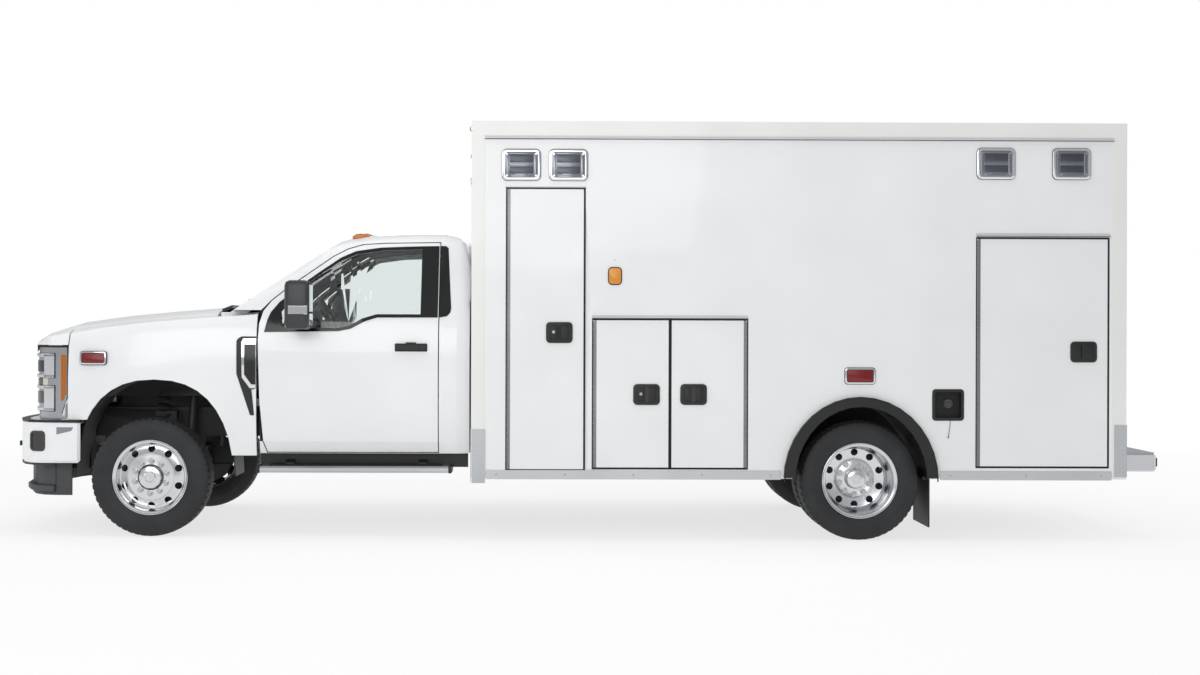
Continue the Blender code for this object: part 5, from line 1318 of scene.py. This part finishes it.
def woven(name, dark, light, thread_mm):
    """Cloth: matt, with threads that cross at a real pitch and a little sheen."""
    material, tree = blank_material(name)
    place = add(tree, "ShaderNodeTexCoord")
    pitch = 2 * thread_mm / 1000
    threads = []
    for direction in ("Y", "DIAGONAL"):
        wave = add(
            tree,
            "ShaderNodeTexWave",
            [("Vector", place, "Object")],
            bands_direction=direction,
            Scale=math.tau / 20 / pitch,
            Distortion=0.6,
        )
        threads.append(wave)
    pair = [(0, threads[0], "Fac"), (1, threads[1], "Fac")]
    cross = add(tree, "ShaderNodeMath", pair, operation="MULTIPLY")
    ramp = add(tree, "ShaderNodeValToRGB", [("Fac", cross, "Value")])
    graded(ramp, (0.0, dark), (1.0, light))
    height = [("Height", cross, "Value")]
    relief = add(tree, "ShaderNodeBump", height, Strength=0.4, Distance=thread_mm / 4000)
    links = [("Base Color", ramp, "Color"), ("Normal", relief, "Normal")]
    shader = add(tree, "ShaderNodeBsdfPrincipled", links, Roughness=0.85, Sheen_Weight=0.15)
    return surfaced(material, shader)


seat_cloth = woven("seat_cloth_charcoal", "33363A", "43474C", 1.6)


def applied(piece):
    """Keeps the mesh that the modifiers make and clears them."""
    graph = bpy.context.evaluated_depsgraph_get()
    made = bpy.data.meshes.new_from_object(piece.evaluated_get(graph))
    old = piece.data
    piece.modifiers.clear()
    piece.data = made
    bpy.data.meshes.remove(old)
    for face in made.polygons:
        face.use_smooth = True


def rounded(piece):
    """Gives a foam part its last, smooth subdivision."""
    finer = piece.modifiers.new("finer", "SUBSURF")
    finer.levels = 1
    finer.render_levels = 1


def stuffed(bm, name, seams=()):
    """A closed form filled like a cushion; seams are the Y of lines sewn along it."""
    piece = build(bm, name, "root", seat_cloth, angle=180)
    lattice = piece.modifiers.new("grid", "REMESH")
    lattice.mode = "VOXEL"
    lattice.voxel_size = FOAM_VOXEL
    applied(piece)
    rest = [v.co.copy() for v in piece.data.vertices]
    cloth = piece.modifiers.new("fill", "CLOTH")
    cloth.settings.use_pressure = True
    cloth.settings.uniform_pressure_force = FOAM_PRESSURE
    cloth.settings.effector_weights.gravity = 0
    for number in range(1, FOAM_FRAMES + 1):
        bpy.context.scene.frame_set(number)
    applied(piece)
    bpy.context.scene.frame_set(1)
    for vert, start in zip(piece.data.vertices, rest):
        move = vert.co - start
        if move.length > FOAM_CAP:
            vert.co = start + move * (FOAM_CAP / move.length)
        for seam in seams:
            near = (vert.co.y - seam) / SEAM_WIDTH
            vert.co -= vert.normal * SEAM_DEPTH * math.exp(-near * near)
    rounded(piece)
    return piece


def opposite(piece):
    """The right-hand seat's copy of a foam part."""
    mesh = piece.data.copy()
    mesh.transform(Matrix.Diagonal((1, -1, 1, 1)))
    mesh.flip_normals()
    other = bpy.data.objects.new(piece.name.replace("_left", "_right"), mesh)
    bpy.context.scene.collection.objects.link(other)
    rounded(other)
    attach(other, "root")
    return other


def foam(loop, low, high, inset):
    """A form drawn from an (x, z) loop, a little smaller than its finished size."""
    form = slab_of(loop, "y", low, high)
    bmesh.ops.bevel(form, geom=form.edges[:], offset=inset, segments=4, **EDGE_BEVEL)
    return form


CUSHION = [(1.352, 1.062), (1.352, 1.205), (1.888, 1.205), (1.888, 1.062)]
BACK = [(1.815, 1.112), (1.925, 1.112), (2.052, 1.728), (1.972, 1.728)]
HEAD = [(1.985, 1.712), (1.985, 1.908), (2.055, 1.908), (2.055, 1.712)]
SEAMS = (SEAT_Y - SEAM_SHIFT, SEAT_Y + SEAM_SHIFT)
# Columns: name, outline, near and far side, rounding, seams
SHAPES = [
    ("cushion", CUSHION, 0.150, 0.670, 0.045, SEAMS),
    ("back", BACK, 0.152, 0.668, 0.038, SEAMS),
    ("head", HEAD, 0.300, 0.520, 0.030, ()),
]
for shape, loop, low, high, inset, seams in SHAPES:
    part = stuffed(foam(loop, -high, -low, inset), f"seat_{shape}_left", seams)
    opposite(part)
seat_base = bmesh.new()
BASE_X, BASE_Z = (1.380, 1.880), (1.020, 1.075)
block(seat_base, (1.401, 1.859), (-0.659, 0.659), (0.951, 1.055))
block(seat_base, BASE_X, (-0.675, -0.145), BASE_Z)
block(seat_base, BASE_X, (0.145, 0.675), BASE_Z)
for sign in (-1, 1):
    block(seat_base, (1.790, 1.905), sorted((sign * 0.676, sign * 0.690)), (1.020, 1.180))
    for y in (0.370, 0.450):
        bar(seat_base, (2.010, sign * y, 1.690), (2.018, sign * y, 1.740), 0.006, 10)
seat_frame = build(seat_base, "seat_frame", "root", black_trim, bevel=0.006)
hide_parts("cab_seats")

# Module body: a box of aluminium extrusions with welded sheet between, painted white.
# The sheet is nearly flat and a shade duller than the cab; its floor is slate vinyl.
module_enamel = speckled("module_white_enamel", "EBECEC", "F0F1F1", 3, 0.36, 0.012, coat=0.45)
floor_vinyl = speckled("slate_floor_vinyl", "54585B", "65696C", 3, 0.55, 0.2)
MODULE_NODES = ["module_left_wall", "module_right_wall", "module_front_wall"]
MODULE_NODES += ["module_rear_wall", "module_roof", "locker_door_front", "locker_door_pair_a"]
MODULE_NODES += ["locker_door_pair_b", "locker_door_rear", "kerb_locker_door_front"]
MODULE_NODES += ["kerb_locker_door_rear", "side_entry_door", "rear_door_left", "rear_door_right"]
for node in MODULE_NODES:
    coat(welded_copy(node, angle=30), module_enamel)
coat(welded_copy("module_floor"), floor_vinyl)
for node in ("side_entry_glass", "rear_door_glass_left", "rear_door_glass_right"):
    coat(welded_copy(node, angle=5), clear_glass)

# Corner posts, roof rail, drip rails and skirt rail: painted and bare extrusions.
# They stand a few millimetres proud of the sheet and are riveted or welded to it. Paint on an
# extrusion is a little warmer than on sheet; the bare rails are satin and brushed lengthwise.
SIDE = 1.220
MODULE_FRONT = 2.233
MODULE_BACK = 6.722
MODULE_TOP = 2.872
POST_WIDTH = 0.087
REAR_POST_WIDTH = 0.095
POST_LOW = 0.430
RAIL_LOW = 2.772
SKIRT = (0.421, 0.484)
REAR_AT = MODULE_BACK - POST_WIDTH
extrusion_enamel = speckled("painted_extrusion", "E9E8E6", "EFEEEC", 3, 0.38, 0.02, coat=0.3)
bare_aluminium = speckled("satin_sheet_aluminium", "BFC2C5", "CCCFD1", 1.5, 0.34, 0.15, 1.0)

posts = bmesh.new()
front_post = (MODULE_FRONT - 0.001, MODULE_FRONT + POST_WIDTH)
rear_post = (MODULE_BACK - REAR_POST_WIDTH - 0.001, MODULE_BACK)
for along in (front_post, rear_post):
    block(posts, along, (-SIDE - 0.0028, -SIDE + 0.004), (POST_LOW, MODULE_TOP - 0.001))
front_face = (MODULE_FRONT - 0.0035, MODULE_FRONT + 0.004)
rear_face = (MODULE_BACK - 0.004, MODULE_BACK + 0.0035)
for along in (front_face, rear_face):
    block(posts, along, (-SIDE - 0.001, -SIDE + 0.085), (POST_LOW, MODULE_TOP - 0.001))
top_z = (RAIL_LOW, MODULE_TOP - 0.0005)
block(posts, (MODULE_FRONT, MODULE_BACK), (-SIDE - 0.0032, -SIDE + 0.004), top_z)
mirrored(posts)
for along in ((MODULE_FRONT - 0.0040, MODULE_FRONT), (MODULE_BACK, MODULE_BACK + 0.0040)):
    block(posts, along, (-SIDE, SIDE), top_z)
build(posts, "module_corner_posts", "root", extrusion_enamel, bevel=0.0012)

# Columns: front and rear end, low and high edge. The first runs along both sides' roof rails.
DRIP_RAILS = [(MODULE_FRONT + POST_WIDTH, REAR_AT, 2.746, 2.768), (3.055, 4.124, 1.521, 1.545)]
DRIP_RAILS += [(5.687, 6.609, 2.092, 2.116), (2.462, 3.013, 2.412, 2.420)]
DRIP_DEPTH = 0.014
SLIM_DRIP_DEPTH = 0.004
# The rails' paint is drawn greyer than the walls' paint. This is painted shade, so that each rail
# shows as a grey shade line.
rail_enamel_painted_shade = speckled("drip_rail_enamel_painted_shade", "CFD0D0", "D6D7D7", 3, 0.4, 0.02, coat=0.2)
drip = bmesh.new()
for x0, x1, z0, z1 in DRIP_RAILS:
    deep = DRIP_DEPTH if z1 - z0 > 0.01 else SLIM_DRIP_DEPTH
    block(drip, (x0, x1), (-SIDE - 0.003, -SIDE + 0.002), (z0, z1))
    block(drip, (x0, x1), (-SIDE - deep, -SIDE), (z0, z0 + 0.006))
    block(drip, (x0, x1), (-SIDE - deep, -SIDE - deep + 0.003), (z0, z0 + 0.012))
build(drip, "left_drip_rails", "root", rail_enamel_painted_shade, bevel=0.001)
drip = bmesh.new()
x0, x1, z0, z1 = DRIP_RAILS[0]
block(drip, (x0, x1), (SIDE - 0.002, SIDE + 0.003), (z0, z1))
block(drip, (x0, x1), (SIDE, SIDE + DRIP_DEPTH), (z0, z0 + 0.006))
build(drip, "right_drip_rails", "root", rail_enamel_painted_shade, bevel=0.001)

SKIRT_RUNS = [(MODULE_FRONT + POST_WIDTH + 0.012, 4.352), (5.446, REAR_AT - 0.012)]
skirt = bmesh.new()
for x0, x1 in SKIRT_RUNS:
    block(skirt, (x0, x1), (-SIDE - 0.0045, -SIDE + 0.001), SKIRT)
mirrored(skirt)
build(skirt, "skirt_rails", "root", bare_aluminium, bevel=0.0012)
SCREW_PITCH = 0.42
SCREW_INSET = 0.07
SCREW_Z = 0.452
screws = bmesh.new()
for x0, x1 in SKIRT_RUNS:
    count = max(2, round((x1 - x0) / SCREW_PITCH))
    for k in range(count):
        x = x0 + SCREW_INSET + (x1 - x0 - 2 * SCREW_INSET) * k / (count - 1)
        bar(screws, (x, -SIDE - 0.003, SCREW_Z), (x, -SIDE - 0.0075, SCREW_Z), 0.008, 12, 0.005)
mirrored(screws)
build(screws, "skirt_screws", "root", nut_steel)

# Door edges: black rubber seals in and round each opening, and a bare piano hinge on each door.
# The seals are pressed onto the wall's edge; the hinges are riveted and their barrels show.
# Columns: body, side, front and rear edge, low and high edge, end the hinge is on
DOORS = [
    ("locker_door_front", "left", 2.478, 2.997, 0.490, 2.405, -1),
    ("locker_door_pair_a", "left", 3.069, 3.588, 0.503, 1.510, -1),
    ("locker_door_pair_b", "left", 3.594, 4.113, 0.503, 1.510, 1),
    ("locker_door_rear", "left", 5.701, 6.593, 0.517, 2.075, -1),
    ("kerb_locker_door_front", "right", 2.400, 2.900, 0.490, 2.405, -1),
    ("side_entry_door", "right", 2.990, 3.850, 0.520, 2.405, -1),
    ("kerb_locker_door_rear", "right", 5.701, 6.593, 0.517, 2.075, -1),
]
HINGE_LEAF = 0.018
HINGE_KNUCKLE = 0.050
HINGE_GAP = 0.0008
HINGE_PIN = 0.0036
SEAL_CORNERS = (0.006, 0.003)
# Galvanised steel has gone dull, so the strips show as grey lines.
hinge_metal = speckled("hinge_dull_steel", "7C7F82", "8C8F92", 3, 0.38, 0.1, 1.0)
seals = {"left": [], "right": []}
for body, side, front, rear, low, high, end in DOORS:
    sign = -1 if side == "left" else 1
    size = (rear - front, high - low)
    place = facing(side, (front + rear) / 2, sign * SIDE, (low + high) / 2)
    outer = (size[0] + 0.028, size[1] + 0.028)
    inner = (size[0] + 0.008, size[1] + 0.008)
    seals[side].append(ring_plate(place, outer, inner, -0.004, 0.0012, *SEAL_CORNERS))
    inner = (size[0] - 0.010, size[1] - 0.010)
    seals[side].append(ring_plate(place, outer, inner, -0.018, -0.010, *SEAL_CORNERS))
    hinge = bmesh.new()
    edge = front if end < 0 else rear
    leaf = sorted((edge - end * 0.0005, edge - end * HINGE_LEAF))
    block(hinge, leaf, sorted((sign * (SIDE - 0.0005), sign * (SIDE + 0.0013))), (low, high))
    axis_x = edge + end * 0.003
    z = low
    while z < high - 0.01:
        top = min(z + HINGE_KNUCKLE, high)
        start, stop = (axis_x, sign * SIDE, z + HINGE_GAP), (axis_x, sign * SIDE, top - HINGE_GAP)
        bar(hinge, start, stop, HINGE_PIN, 10)
        z = top
    build(hinge, body + "_hinge_strip", body, hinge_metal)
for side, made in seals.items():
    build(joined(made), side + "_door_seals", "root", gasket_rubber)

# Paddle latches: black moulded plates with a recess, a lifting paddle and a key barrel.
# Powder-coated black is satin and finely pebbled; the key's steel is bright.
# Columns: body, side, X of the middle, height, side the key is on, whether it has a key
LATCHES = [
    ("locker_door_front", "left", 2.832, 1.4245, -1, True),
    ("locker_door_pair_a", "left", 3.430, 1.0025, -1, True),
    ("locker_door_pair_b", "left", 3.752, 1.0035, 1, False),
    ("locker_door_rear", "left", 6.429, 1.3025, -1, False),
    ("kerb_locker_door_front", "right", 2.755, 1.4245, -1, True),
    ("side_entry_door", "right", 3.710, 1.2000, -1, True),
    ("kerb_locker_door_rear", "right", 6.429, 1.3025, -1, False),
]
LATCH_SIZE = (0.182, 0.143)
REAR_LATCH = (0.112, 1.280)
latch_black = speckled("latch_black_powder", "121314", "1C1D1E", 1.2, 0.5, 0.3)
key_steel = speckled("key_barrel_steel", "A8AAAD", "B8BABC", 4, 0.25, 0.05, 1.0)


def latch(stem, body, side, x, y, z, key_side, keyed):
    """One latch: frame, recess floor, paddle and, where there is one, its key barrel."""
    place = facing(side, x, y, z)
    wide, tall = LATCH_SIZE
    frame_ring = ring_plate(place, LATCH_SIZE, (wide - 0.052, tall - 0.046), 0, 0.009, 0.028, 0.010)
    shift = -0.034 * key_side * (-1 if side == "right" else 1)
    rows = [((0, 0), (wide - 0.040, tall - 0.036), 0.0005, 0.0025, 0.012, 0)]
    rows += [((shift, 0), (0.060, tall - 0.050), 0.003, 0.0095, 0.006, 0.003)]
    rows += [((-shift * 1.15, 0), (0.050, tall - 0.050), 0.001, 0.0065, 0.006, 0.002)]
    build(joined([frame_ring, plates(place, rows)]), stem + "_latch", body, latch_black)
    slot = plates(place, [((0, 0), (0.028, 0.100), 0.004, 0.0098, 0.004, 0)])
    build(slot, stem + "_latch_slot", body, lens_black)
    if keyed:
        key = bmesh.new()
        at = (-shift * 1.15, 0.004)
        bar(key, place @ Vector((*at, 0.0)), place @ Vector((*at, 0.0115)), 0.0105, 24)
        slot = place @ Matrix.Translation((*at, 0.012)) @ Matrix.Diagonal((0.002, 0.010, 0.001, 1))
        bmesh.ops.create_cube(key, size=1, matrix=slot)
        build(key, stem + "_key", body, key_steel)


for body, side, x, z, key_side, keyed in LATCHES:
    latch(body, body, side, x, SIDE if side == "right" else -SIDE, z, key_side, keyed)
latch("rear_door", "rear_door_right", "rear", MODULE_BACK, *REAR_LATCH, -1, True)

# Warning lamps: clear ribbed lenses over stepped reflectors, in chromed bezels on black
# gaskets, each held by four corner screws. Pairs high on the sides, front and rear.
# The metallised reflector is mirror grey. Its steps behind the lens's ribs are drawn darker, as
# painted shadow.
LAMP_SIZE = (0.268, 0.219)
LAMP_SCREW = (0.099, 0.074)
lens_grey = speckled("reflector_grey_chrome", "7B7E86", "8E9198", 14, 0.22, 0.05, 0.85)
step_painted_shadow = speckled("reflector_step_shadow", "4A4D55", "5C5F66", 14, 0.3, 0.05, 0.7)


def warning_lamp(stem, body, side, x, y, z):
    """One warning lamp on a face."""
    place = facing(side, x, y, z)
    wide, tall = LAMP_SIZE
    base = plates(place, [((0, 0), LAMP_SIZE, 0, 0.004, 0.036, 0)])
    build(base, stem + "_gasket", body, gasket_rubber)
    rim, mouth = (wide - 0.006, tall - 0.006), (wide - 0.040, tall - 0.040)
    bezel = ring_plate(place, rim, mouth, 0.003, 0.012, 0.034, 0.024)
    build(bezel, stem + "_bezel", body, chrome)
    rows = [((0, 0), (wide - 0.036, tall - 0.036), 0.002, 0.0075, 0.022, 0.002)]
    rows += [((0, 0.078), (wide - 0.100, 0.012), 0.006, 0.0125, 0.003, 0.002)]
    rows += [((0, 0.000), (wide - 0.100, 0.016), 0.006, 0.0125, 0.003, 0.002)]
    for end in (-1, 1):
        rows += [((end * 0.094, 0), (0.020, tall - 0.060), 0.006, 0.0125, 0.005, 0.002)]
    rows += [((0, -0.078), (wide - 0.130, 0.016), 0.006, 0.0125, 0.006, 0.002)]
    rows += [((0, -0.066), (wide - 0.180, 0.016), 0.006, 0.0115, 0.006, 0.002)]
    build(plates(place, rows), stem + "_reflector", body, lens_grey)
    rows = [((0, 0.042), (wide - 0.106, 0.055), 0.006, 0.0085, 0.006, 0.001)]
    rows += [((0, -0.036), (wide - 0.106, 0.050), 0.006, 0.0085, 0.006, 0.001)]
    # The darker steps are painted shadow.
    build(plates(place, rows), stem + "_steps", body, step_painted_shadow)
    screw = bmesh.new()
    for u in (-LAMP_SCREW[0], LAMP_SCREW[0]):
        for v in (-LAMP_SCREW[1], LAMP_SCREW[1]):
            bar(screw, place @ Vector((u, v, 0.008)), place @ Vector((u, v, 0.0150)), 0.0085, 16)
    build(screw, stem + "_screws", body, key_steel, bevel=0.0012)


# X and height of each lamp on a side wall
SIDE_LAMPS = [(2.570, 2.5705), (2.8915, 2.5705), (5.823, 2.5915), (6.3425, 2.5915)]
for k, (x, z) in enumerate(SIDE_LAMPS):
    warning_lamp(f"left_warning_lamp_{k}", "root", "left", x, -SIDE, z)
    warning_lamp(f"right_warning_lamp_{k}", "root", "right", x, SIDE, z)

# Markers on the module: a clear-edged amber flasher high on the left wall with its fixing screw
# above it, and red side reflectors over the rear wheels, all moulded and screwed on.
FLASHER_PLACE = (3.212, 1.8125)
FLASHER_SIZE = (0.096, 0.123)
FLASHER_SCREW = (3.213, 1.921)
RED_PLACE = (4.8935, 1.1335)
RED_SIZE = (0.207, 0.109)
flasher_amber = tinted_lens("amber_flasher_lens", "E0902A", 5)
place = facing("left", FLASHER_PLACE[0], -SIDE, FLASHER_PLACE[1])
wide, tall = FLASHER_SIZE
rim = ring_plate(place, FLASHER_SIZE, (wide - 0.014, tall - 0.014), 0, 0.007, 0.028, 0.022)
build(rim, "amber_flasher_rim", "root", gasket_rubber)
lens = plates(place, [((0, 0), (wide - 0.012, tall - 0.012), 0, 0.0105, 0.022, 0.004)])
build(lens, "amber_flasher_lens", "root", flasher_amber)
screw = bmesh.new()
x, z = FLASHER_SCREW
bar(screw, (x, -SIDE + 0.001, z), (x, -SIDE - 0.004, z), 0.006, 16, 0.004)
build(screw, "amber_flasher_screw", "root", nut_steel)
for side, sign in SIDES:
    x, z = RED_PLACE
    side_marker(f"module_marker_{side}", "root", side, x, sign * SIDE, z, RED_SIZE)

# Fuel filler: a pocket lined in black with a moulded rim, a grey screw cap and its short leash.
# The liner is one moulding; the filler neck comes through its floor.
POCKET = (5.4985, 0.9365)
POCKET_SIZE = (0.207, 0.205)
CAP = (0.006, 0.008)
LEASH = [(0.016, -0.098, 0.006), (0.012, -0.150, 0.005), (0.002, -0.218, 0.004)]
LEASH_THICK = 0.0032
place = facing("left", POCKET[0], -SIDE, POCKET[1])
wide, tall = POCKET_SIZE
outer, inner = (wide + 0.012, tall + 0.012), (wide - 0.028, tall - 0.028)
rim = ring_plate(place, outer, inner, -0.002, 0.005, 0.024, 0.016)
build(rim, "fuel_pocket_rim", "root", latch_black)
outer, inner = (wide - 0.002, tall - 0.002), (wide - 0.030, tall - 0.030)
liner = [ring_plate(place, outer, inner, -0.041, 0, 0.012, 0.014)]
liner.append(plates(place, [((0, 0), (wide - 0.004, tall - 0.004), -0.0418, -0.036, 0.012, 0)]))
build(joined(liner), "fuel_pocket_liner", "root", gasket_rubber)
cap = bmesh.new()
bar(cap, place @ Vector((*CAP, -0.037)), place @ Vector((*CAP, -0.017)), 0.034, 32, 0.031)
grip = place @ Matrix.Translation((*CAP, -0.0125)) @ Matrix.Diagonal((0.048, 0.013, 0.012, 1))
bmesh.ops.create_cube(cap, size=1, matrix=grip)
build(cap, "fuel_cap", "root", valance_grey, bevel=0.002)
leash = bmesh.new()
for start, end in zip(LEASH, LEASH[1:]):
    bar(leash, place @ Vector(start), place @ Vector(end), LEASH_THICK / 2, 8)
bar(leash, place @ Vector((0.002, -0.216, 0.004)), place @ Vector((0.001, -0.226, 0.004)), 0.004, 10)
build(leash, "fuel_cap_leash", "root", gasket_rubber)

# Corner guards: checkered aluminium plate folded round the module's four lower corners.
# The lugs are rolled in pairs at right angles, 30 mm apart; the plate between them is bright.
LUG_PITCH = 0.030
LUG_HALF = (0.0115, 0.0034, 0.0014)

checker = speckled("checker_plate_aluminium", "B4B7BA", "C4C7CA", 2, 0.3, 0.15, 1.0)


def lugs(bm, place, wide, tall):
    """Rolled lugs over a plate that is centred on a frame."""
    columns, rows = max(1, int(wide / LUG_PITCH)), max(1, int(tall / LUG_PITCH))
    for i in range(columns):
        for j in range(rows):
            u = (i - (columns - 1) / 2) * LUG_PITCH
            v = (j - (rows - 1) / 2) * LUG_PITCH
            lean = math.pi / 4 * (1 if (i + j) % 2 else -1)
            spot = place @ Matrix.Translation((u, v, 0)) @ Matrix.Rotation(lean, 4, "Z")
            spot = spot @ Matrix.Diagonal((*LUG_HALF, 1))
            bmesh.ops.create_uvsphere(bm, u_segments=8, v_segments=4, radius=1, matrix=spot)


# Columns: front and rear edge on the side wall, low and high edge, end face it folds onto
GUARDS = [(MODULE_FRONT + 0.004, 2.327, 0.394, 0.763, "front")]
GUARDS += [(6.641, MODULE_BACK + 0.0030, 0.445, 0.802, "rear")]
guards = bmesh.new()
for front, rear, low, high, end in GUARDS:
    size = (rear - front, high - low)
    middle = (low + high) / 2
    block(guards, (front, rear), (-SIDE - 0.0058, -SIDE - 0.0030), (low, high))
    lugs(guards, facing("left", (front + rear) / 2, -SIDE - 0.0056, middle), *size)
    face = MODULE_FRONT - 0.0035 if end == "front" else MODULE_BACK + 0.0035
    out = -1 if end == "front" else 1
    folded = sorted((face, face + out * 0.0028))
    block(guards, folded, (-SIDE - 0.0058, -SIDE + 0.088), (low, high))
    lugs(guards, facing(end, face + out * 0.0026, -SIDE + 0.041, middle), *size)
mirrored(guards)
build(guards, "corner_guards", "root", checker)

# Wheelhouses: black moulded liners, with flexible rubber flares and flaps bolted on.
# The flare has a rolled outer bead, and its rubber is dull with a slight bloom.
ARCH = (4.899, 0.411)
FLARE_REACH = (0.524, 0.573)
BEAD_OUT = 0.0335
BEAD_RADIUS = 0.0045
BEAD_STEPS = 40
flare_rubber = speckled("flare_rubber_black", "0B0C0D", "151617", 2, 0.5, 0.2)
for node in ("rear_wheelhouse_left", "rear_wheelhouse_right"):
    coat(welded_copy(node), flare_rubber)
bead = bmesh.new()
for k in range(BEAD_STEPS):
    ends = []
    for turn in (math.pi * k / BEAD_STEPS, math.pi * (k + 1) / BEAD_STEPS):
        x = ARCH[0] + FLARE_REACH[0] * math.cos(turn)
        ends.append((x, -SIDE - BEAD_OUT, ARCH[1] + FLARE_REACH[1] * math.sin(turn)))
    bar(bead, ends[0], ends[1], BEAD_RADIUS, 8)
mirrored(bead)
build(bead, "flare_beads", "root", flare_rubber)

# Lamps at the module's ends: warning lamps across the front, clearance lamps along both top
# rails, and at the rear red warning lamps, stacked tail lamps and small red markers.
END_LAMP_Z = 2.5505
CLEARANCE_Z = 2.824
clear_lens = speckled("clear_lamp_lens", "C9CCD0", "DADDE0", 10, 0.12, 0.03, 0.2, 0.8)
for k, y in enumerate((-0.965, -0.480, 0.480, 0.965)):
    x = MODULE_FRONT - 0.003
    warning_lamp(f"front_warning_lamp_{k}", "root", "front", x, y, END_LAMP_Z)
for k, y in enumerate((-0.965, 0.965)):
    x = MODULE_BACK + 0.0032
    warning_lamp(f"rear_warning_lamp_{k}", "root", "rear", x, y, END_LAMP_Z)


def clearance(stem, side, x, y, z, lens_finish):
    """A small oblong clearance lamp on its base."""
    place = facing(side, x, y, z)
    base = plates(place, [((0, 0), (0.104, 0.036), 0, 0.006, 0.010, 0.001)])
    build(base, stem + "_base", "root", bezel_silver)
    lens = plates(place, [((0, 0), (0.088, 0.024), 0.005, 0.0160, 0.008, 0.005)])
    build(lens, stem + "_lens", "root", lens_finish)


for k, y in enumerate((-1.12, -0.20, 0.0, 0.20, 1.12)):
    clearance(f"front_clearance_{k}", "front", MODULE_FRONT - 0.004, y, CLEARANCE_Z, amber_lens)
    clearance(f"rear_clearance_{k}", "rear", MODULE_BACK + 0.004, y, CLEARANCE_Z, red_lens)

REAR_LAMPS_Y = 1.020
REAR_MARKER_Z = 1.8955
REAR_MARKER_SIZE = (0.150, 0.105)
TAIL_SIZE = (0.185, 0.110)
TAIL_LAMPS = [("reverse", 0.905, clear_lens), ("turn", 1.035, amber_lens)]
TAIL_LAMPS += [("stop", 1.165, red_lens)]
for side, sign in SIDES:
    spot = (MODULE_BACK, sign * REAR_LAMPS_Y)
    side_marker(f"rear_marker_{side}", "root", "rear", *spot, REAR_MARKER_Z, REAR_MARKER_SIZE)
    for name, z, lens in TAIL_LAMPS:
        coat(side_marker(f"{name}_lamp_{side}", "root", "rear", *spot, z, TAIL_SIZE), lens)

# Rear and side doors' trim: rubber glazing channels, hinge strips down the rear doors' outer
# edges, seals round the doorway and a plain bracket for the number plate.
REAR_DOOR_Z = (1.032, 2.600)
REAR_WINDOW = (0.320, 1.900)
REAR_HINGE_Y = 0.643
SIDE_WINDOW = (3.420, 1.800)
CHANNEL = (-0.004, 0.0035, 0.040, 0.018)
PLATE_PLACE = (-0.86, 0.745)
for side, sign in SIDES:
    body = f"rear_door_{side}"
    place = facing("rear", MODULE_BACK, sign * REAR_WINDOW[0], REAR_WINDOW[1])
    trim = ring_plate(place, (0.420, 0.740), (0.364, 0.684), *CHANNEL)
    build(trim, f"rear_window_channel_{side}", body, gasket_rubber)
    hinge = bmesh.new()
    leaf = sorted((sign * 0.6395, sign * 0.619))
    block(hinge, (MODULE_BACK - 0.0005, MODULE_BACK + 0.0013), leaf, REAR_DOOR_Z)
    for k in range(31):
        start = Vector((MODULE_BACK, sign * REAR_HINGE_Y, REAR_DOOR_Z[0] + HINGE_GAP + 0.0505 * k))
        bar(hinge, start, start + Vector((0, 0, 0.0487)), HINGE_PIN, 10)
    build(hinge, f"rear_door_{side}_hinge_strip", body, hinge_metal)
place = facing("right", SIDE_WINDOW[0], SIDE, SIDE_WINDOW[1])
trim = ring_plate(place, (0.580, 0.640), (0.524, 0.584), *CHANNEL)
build(trim, "side_window_channel", "side_entry_door", gasket_rubber)
place = facing("rear", MODULE_BACK, 0, sum(REAR_DOOR_Z) / 2)
doorway = ring_plate(place, (1.308, 1.596), (1.288, 1.576), -0.004, 0.0012, *SEAL_CORNERS)
build(doorway, "rear_doorway_seal", "root", gasket_rubber)
middle = bmesh.new()
seal_z = (REAR_DOOR_Z[0] + 0.004, REAR_DOOR_Z[1] - 0.004)
block(middle, (MODULE_BACK - 0.018, MODULE_BACK - 0.010), (-0.0025, 0.0025), seal_z)
build(middle, "rear_door_meeting_seal", "rear_door_left", gasket_rubber)
place = facing("rear", MODULE_BACK, *PLATE_PLACE)
bracket = plates(place, [((0, 0), (0.320, 0.170), 0, 0.004, 0.010, 0.001)])
build(bracket, "rear_plate_bracket", "root", latch_black)

# Rear step: folded checker plate over a frame, with rubber buffers on its rear edge.
STEP_FRONT, STEP_BACK, STEP_HALF = 6.757, 6.987, 1.080
TREAD_Z = (0.5995, 0.6022)
BUFFER_Z = (0.515, 0.565)
step_metal = speckled("step_satin_aluminium", "C6C8CA", "D2D4D6", 2, 0.32, 0.1, 1.0)
step = coat(welded_copy("rear_step"), step_metal)
step.data.materials.append(flare_rubber)
step.data.materials.append(chassis_paint)
for face in step.data.polygons:
    x = face.center.x - AXLE_X
    if x > STEP_BACK + 0.001 and abs(face.center.y) > 0.85:
        face.material_index = 1
    elif x < STEP_FRONT + 0.004 and abs(face.center.y) < 0.45:
        face.material_index = 2
tread = bmesh.new()
half = STEP_HALF - 0.012
block(tread, (STEP_FRONT + 0.012, STEP_BACK - 0.012), (-half, half), TREAD_Z)
top = facing("top", (STEP_FRONT + STEP_BACK) / 2, 0, TREAD_Z[1] - 0.0002)
lugs(tread, top, STEP_BACK - STEP_FRONT - 0.02, 2 * STEP_HALF - 0.06)
build(tread, "rear_step_tread", "root", checker)
buffer = bmesh.new()
half = STEP_HALF - 0.02
block(buffer, (STEP_BACK - 0.001, STEP_BACK + 0.007), (-half, half), BUFFER_Z)
build(buffer, "rear_step_edge", "root", flare_rubber, bevel=0.002)
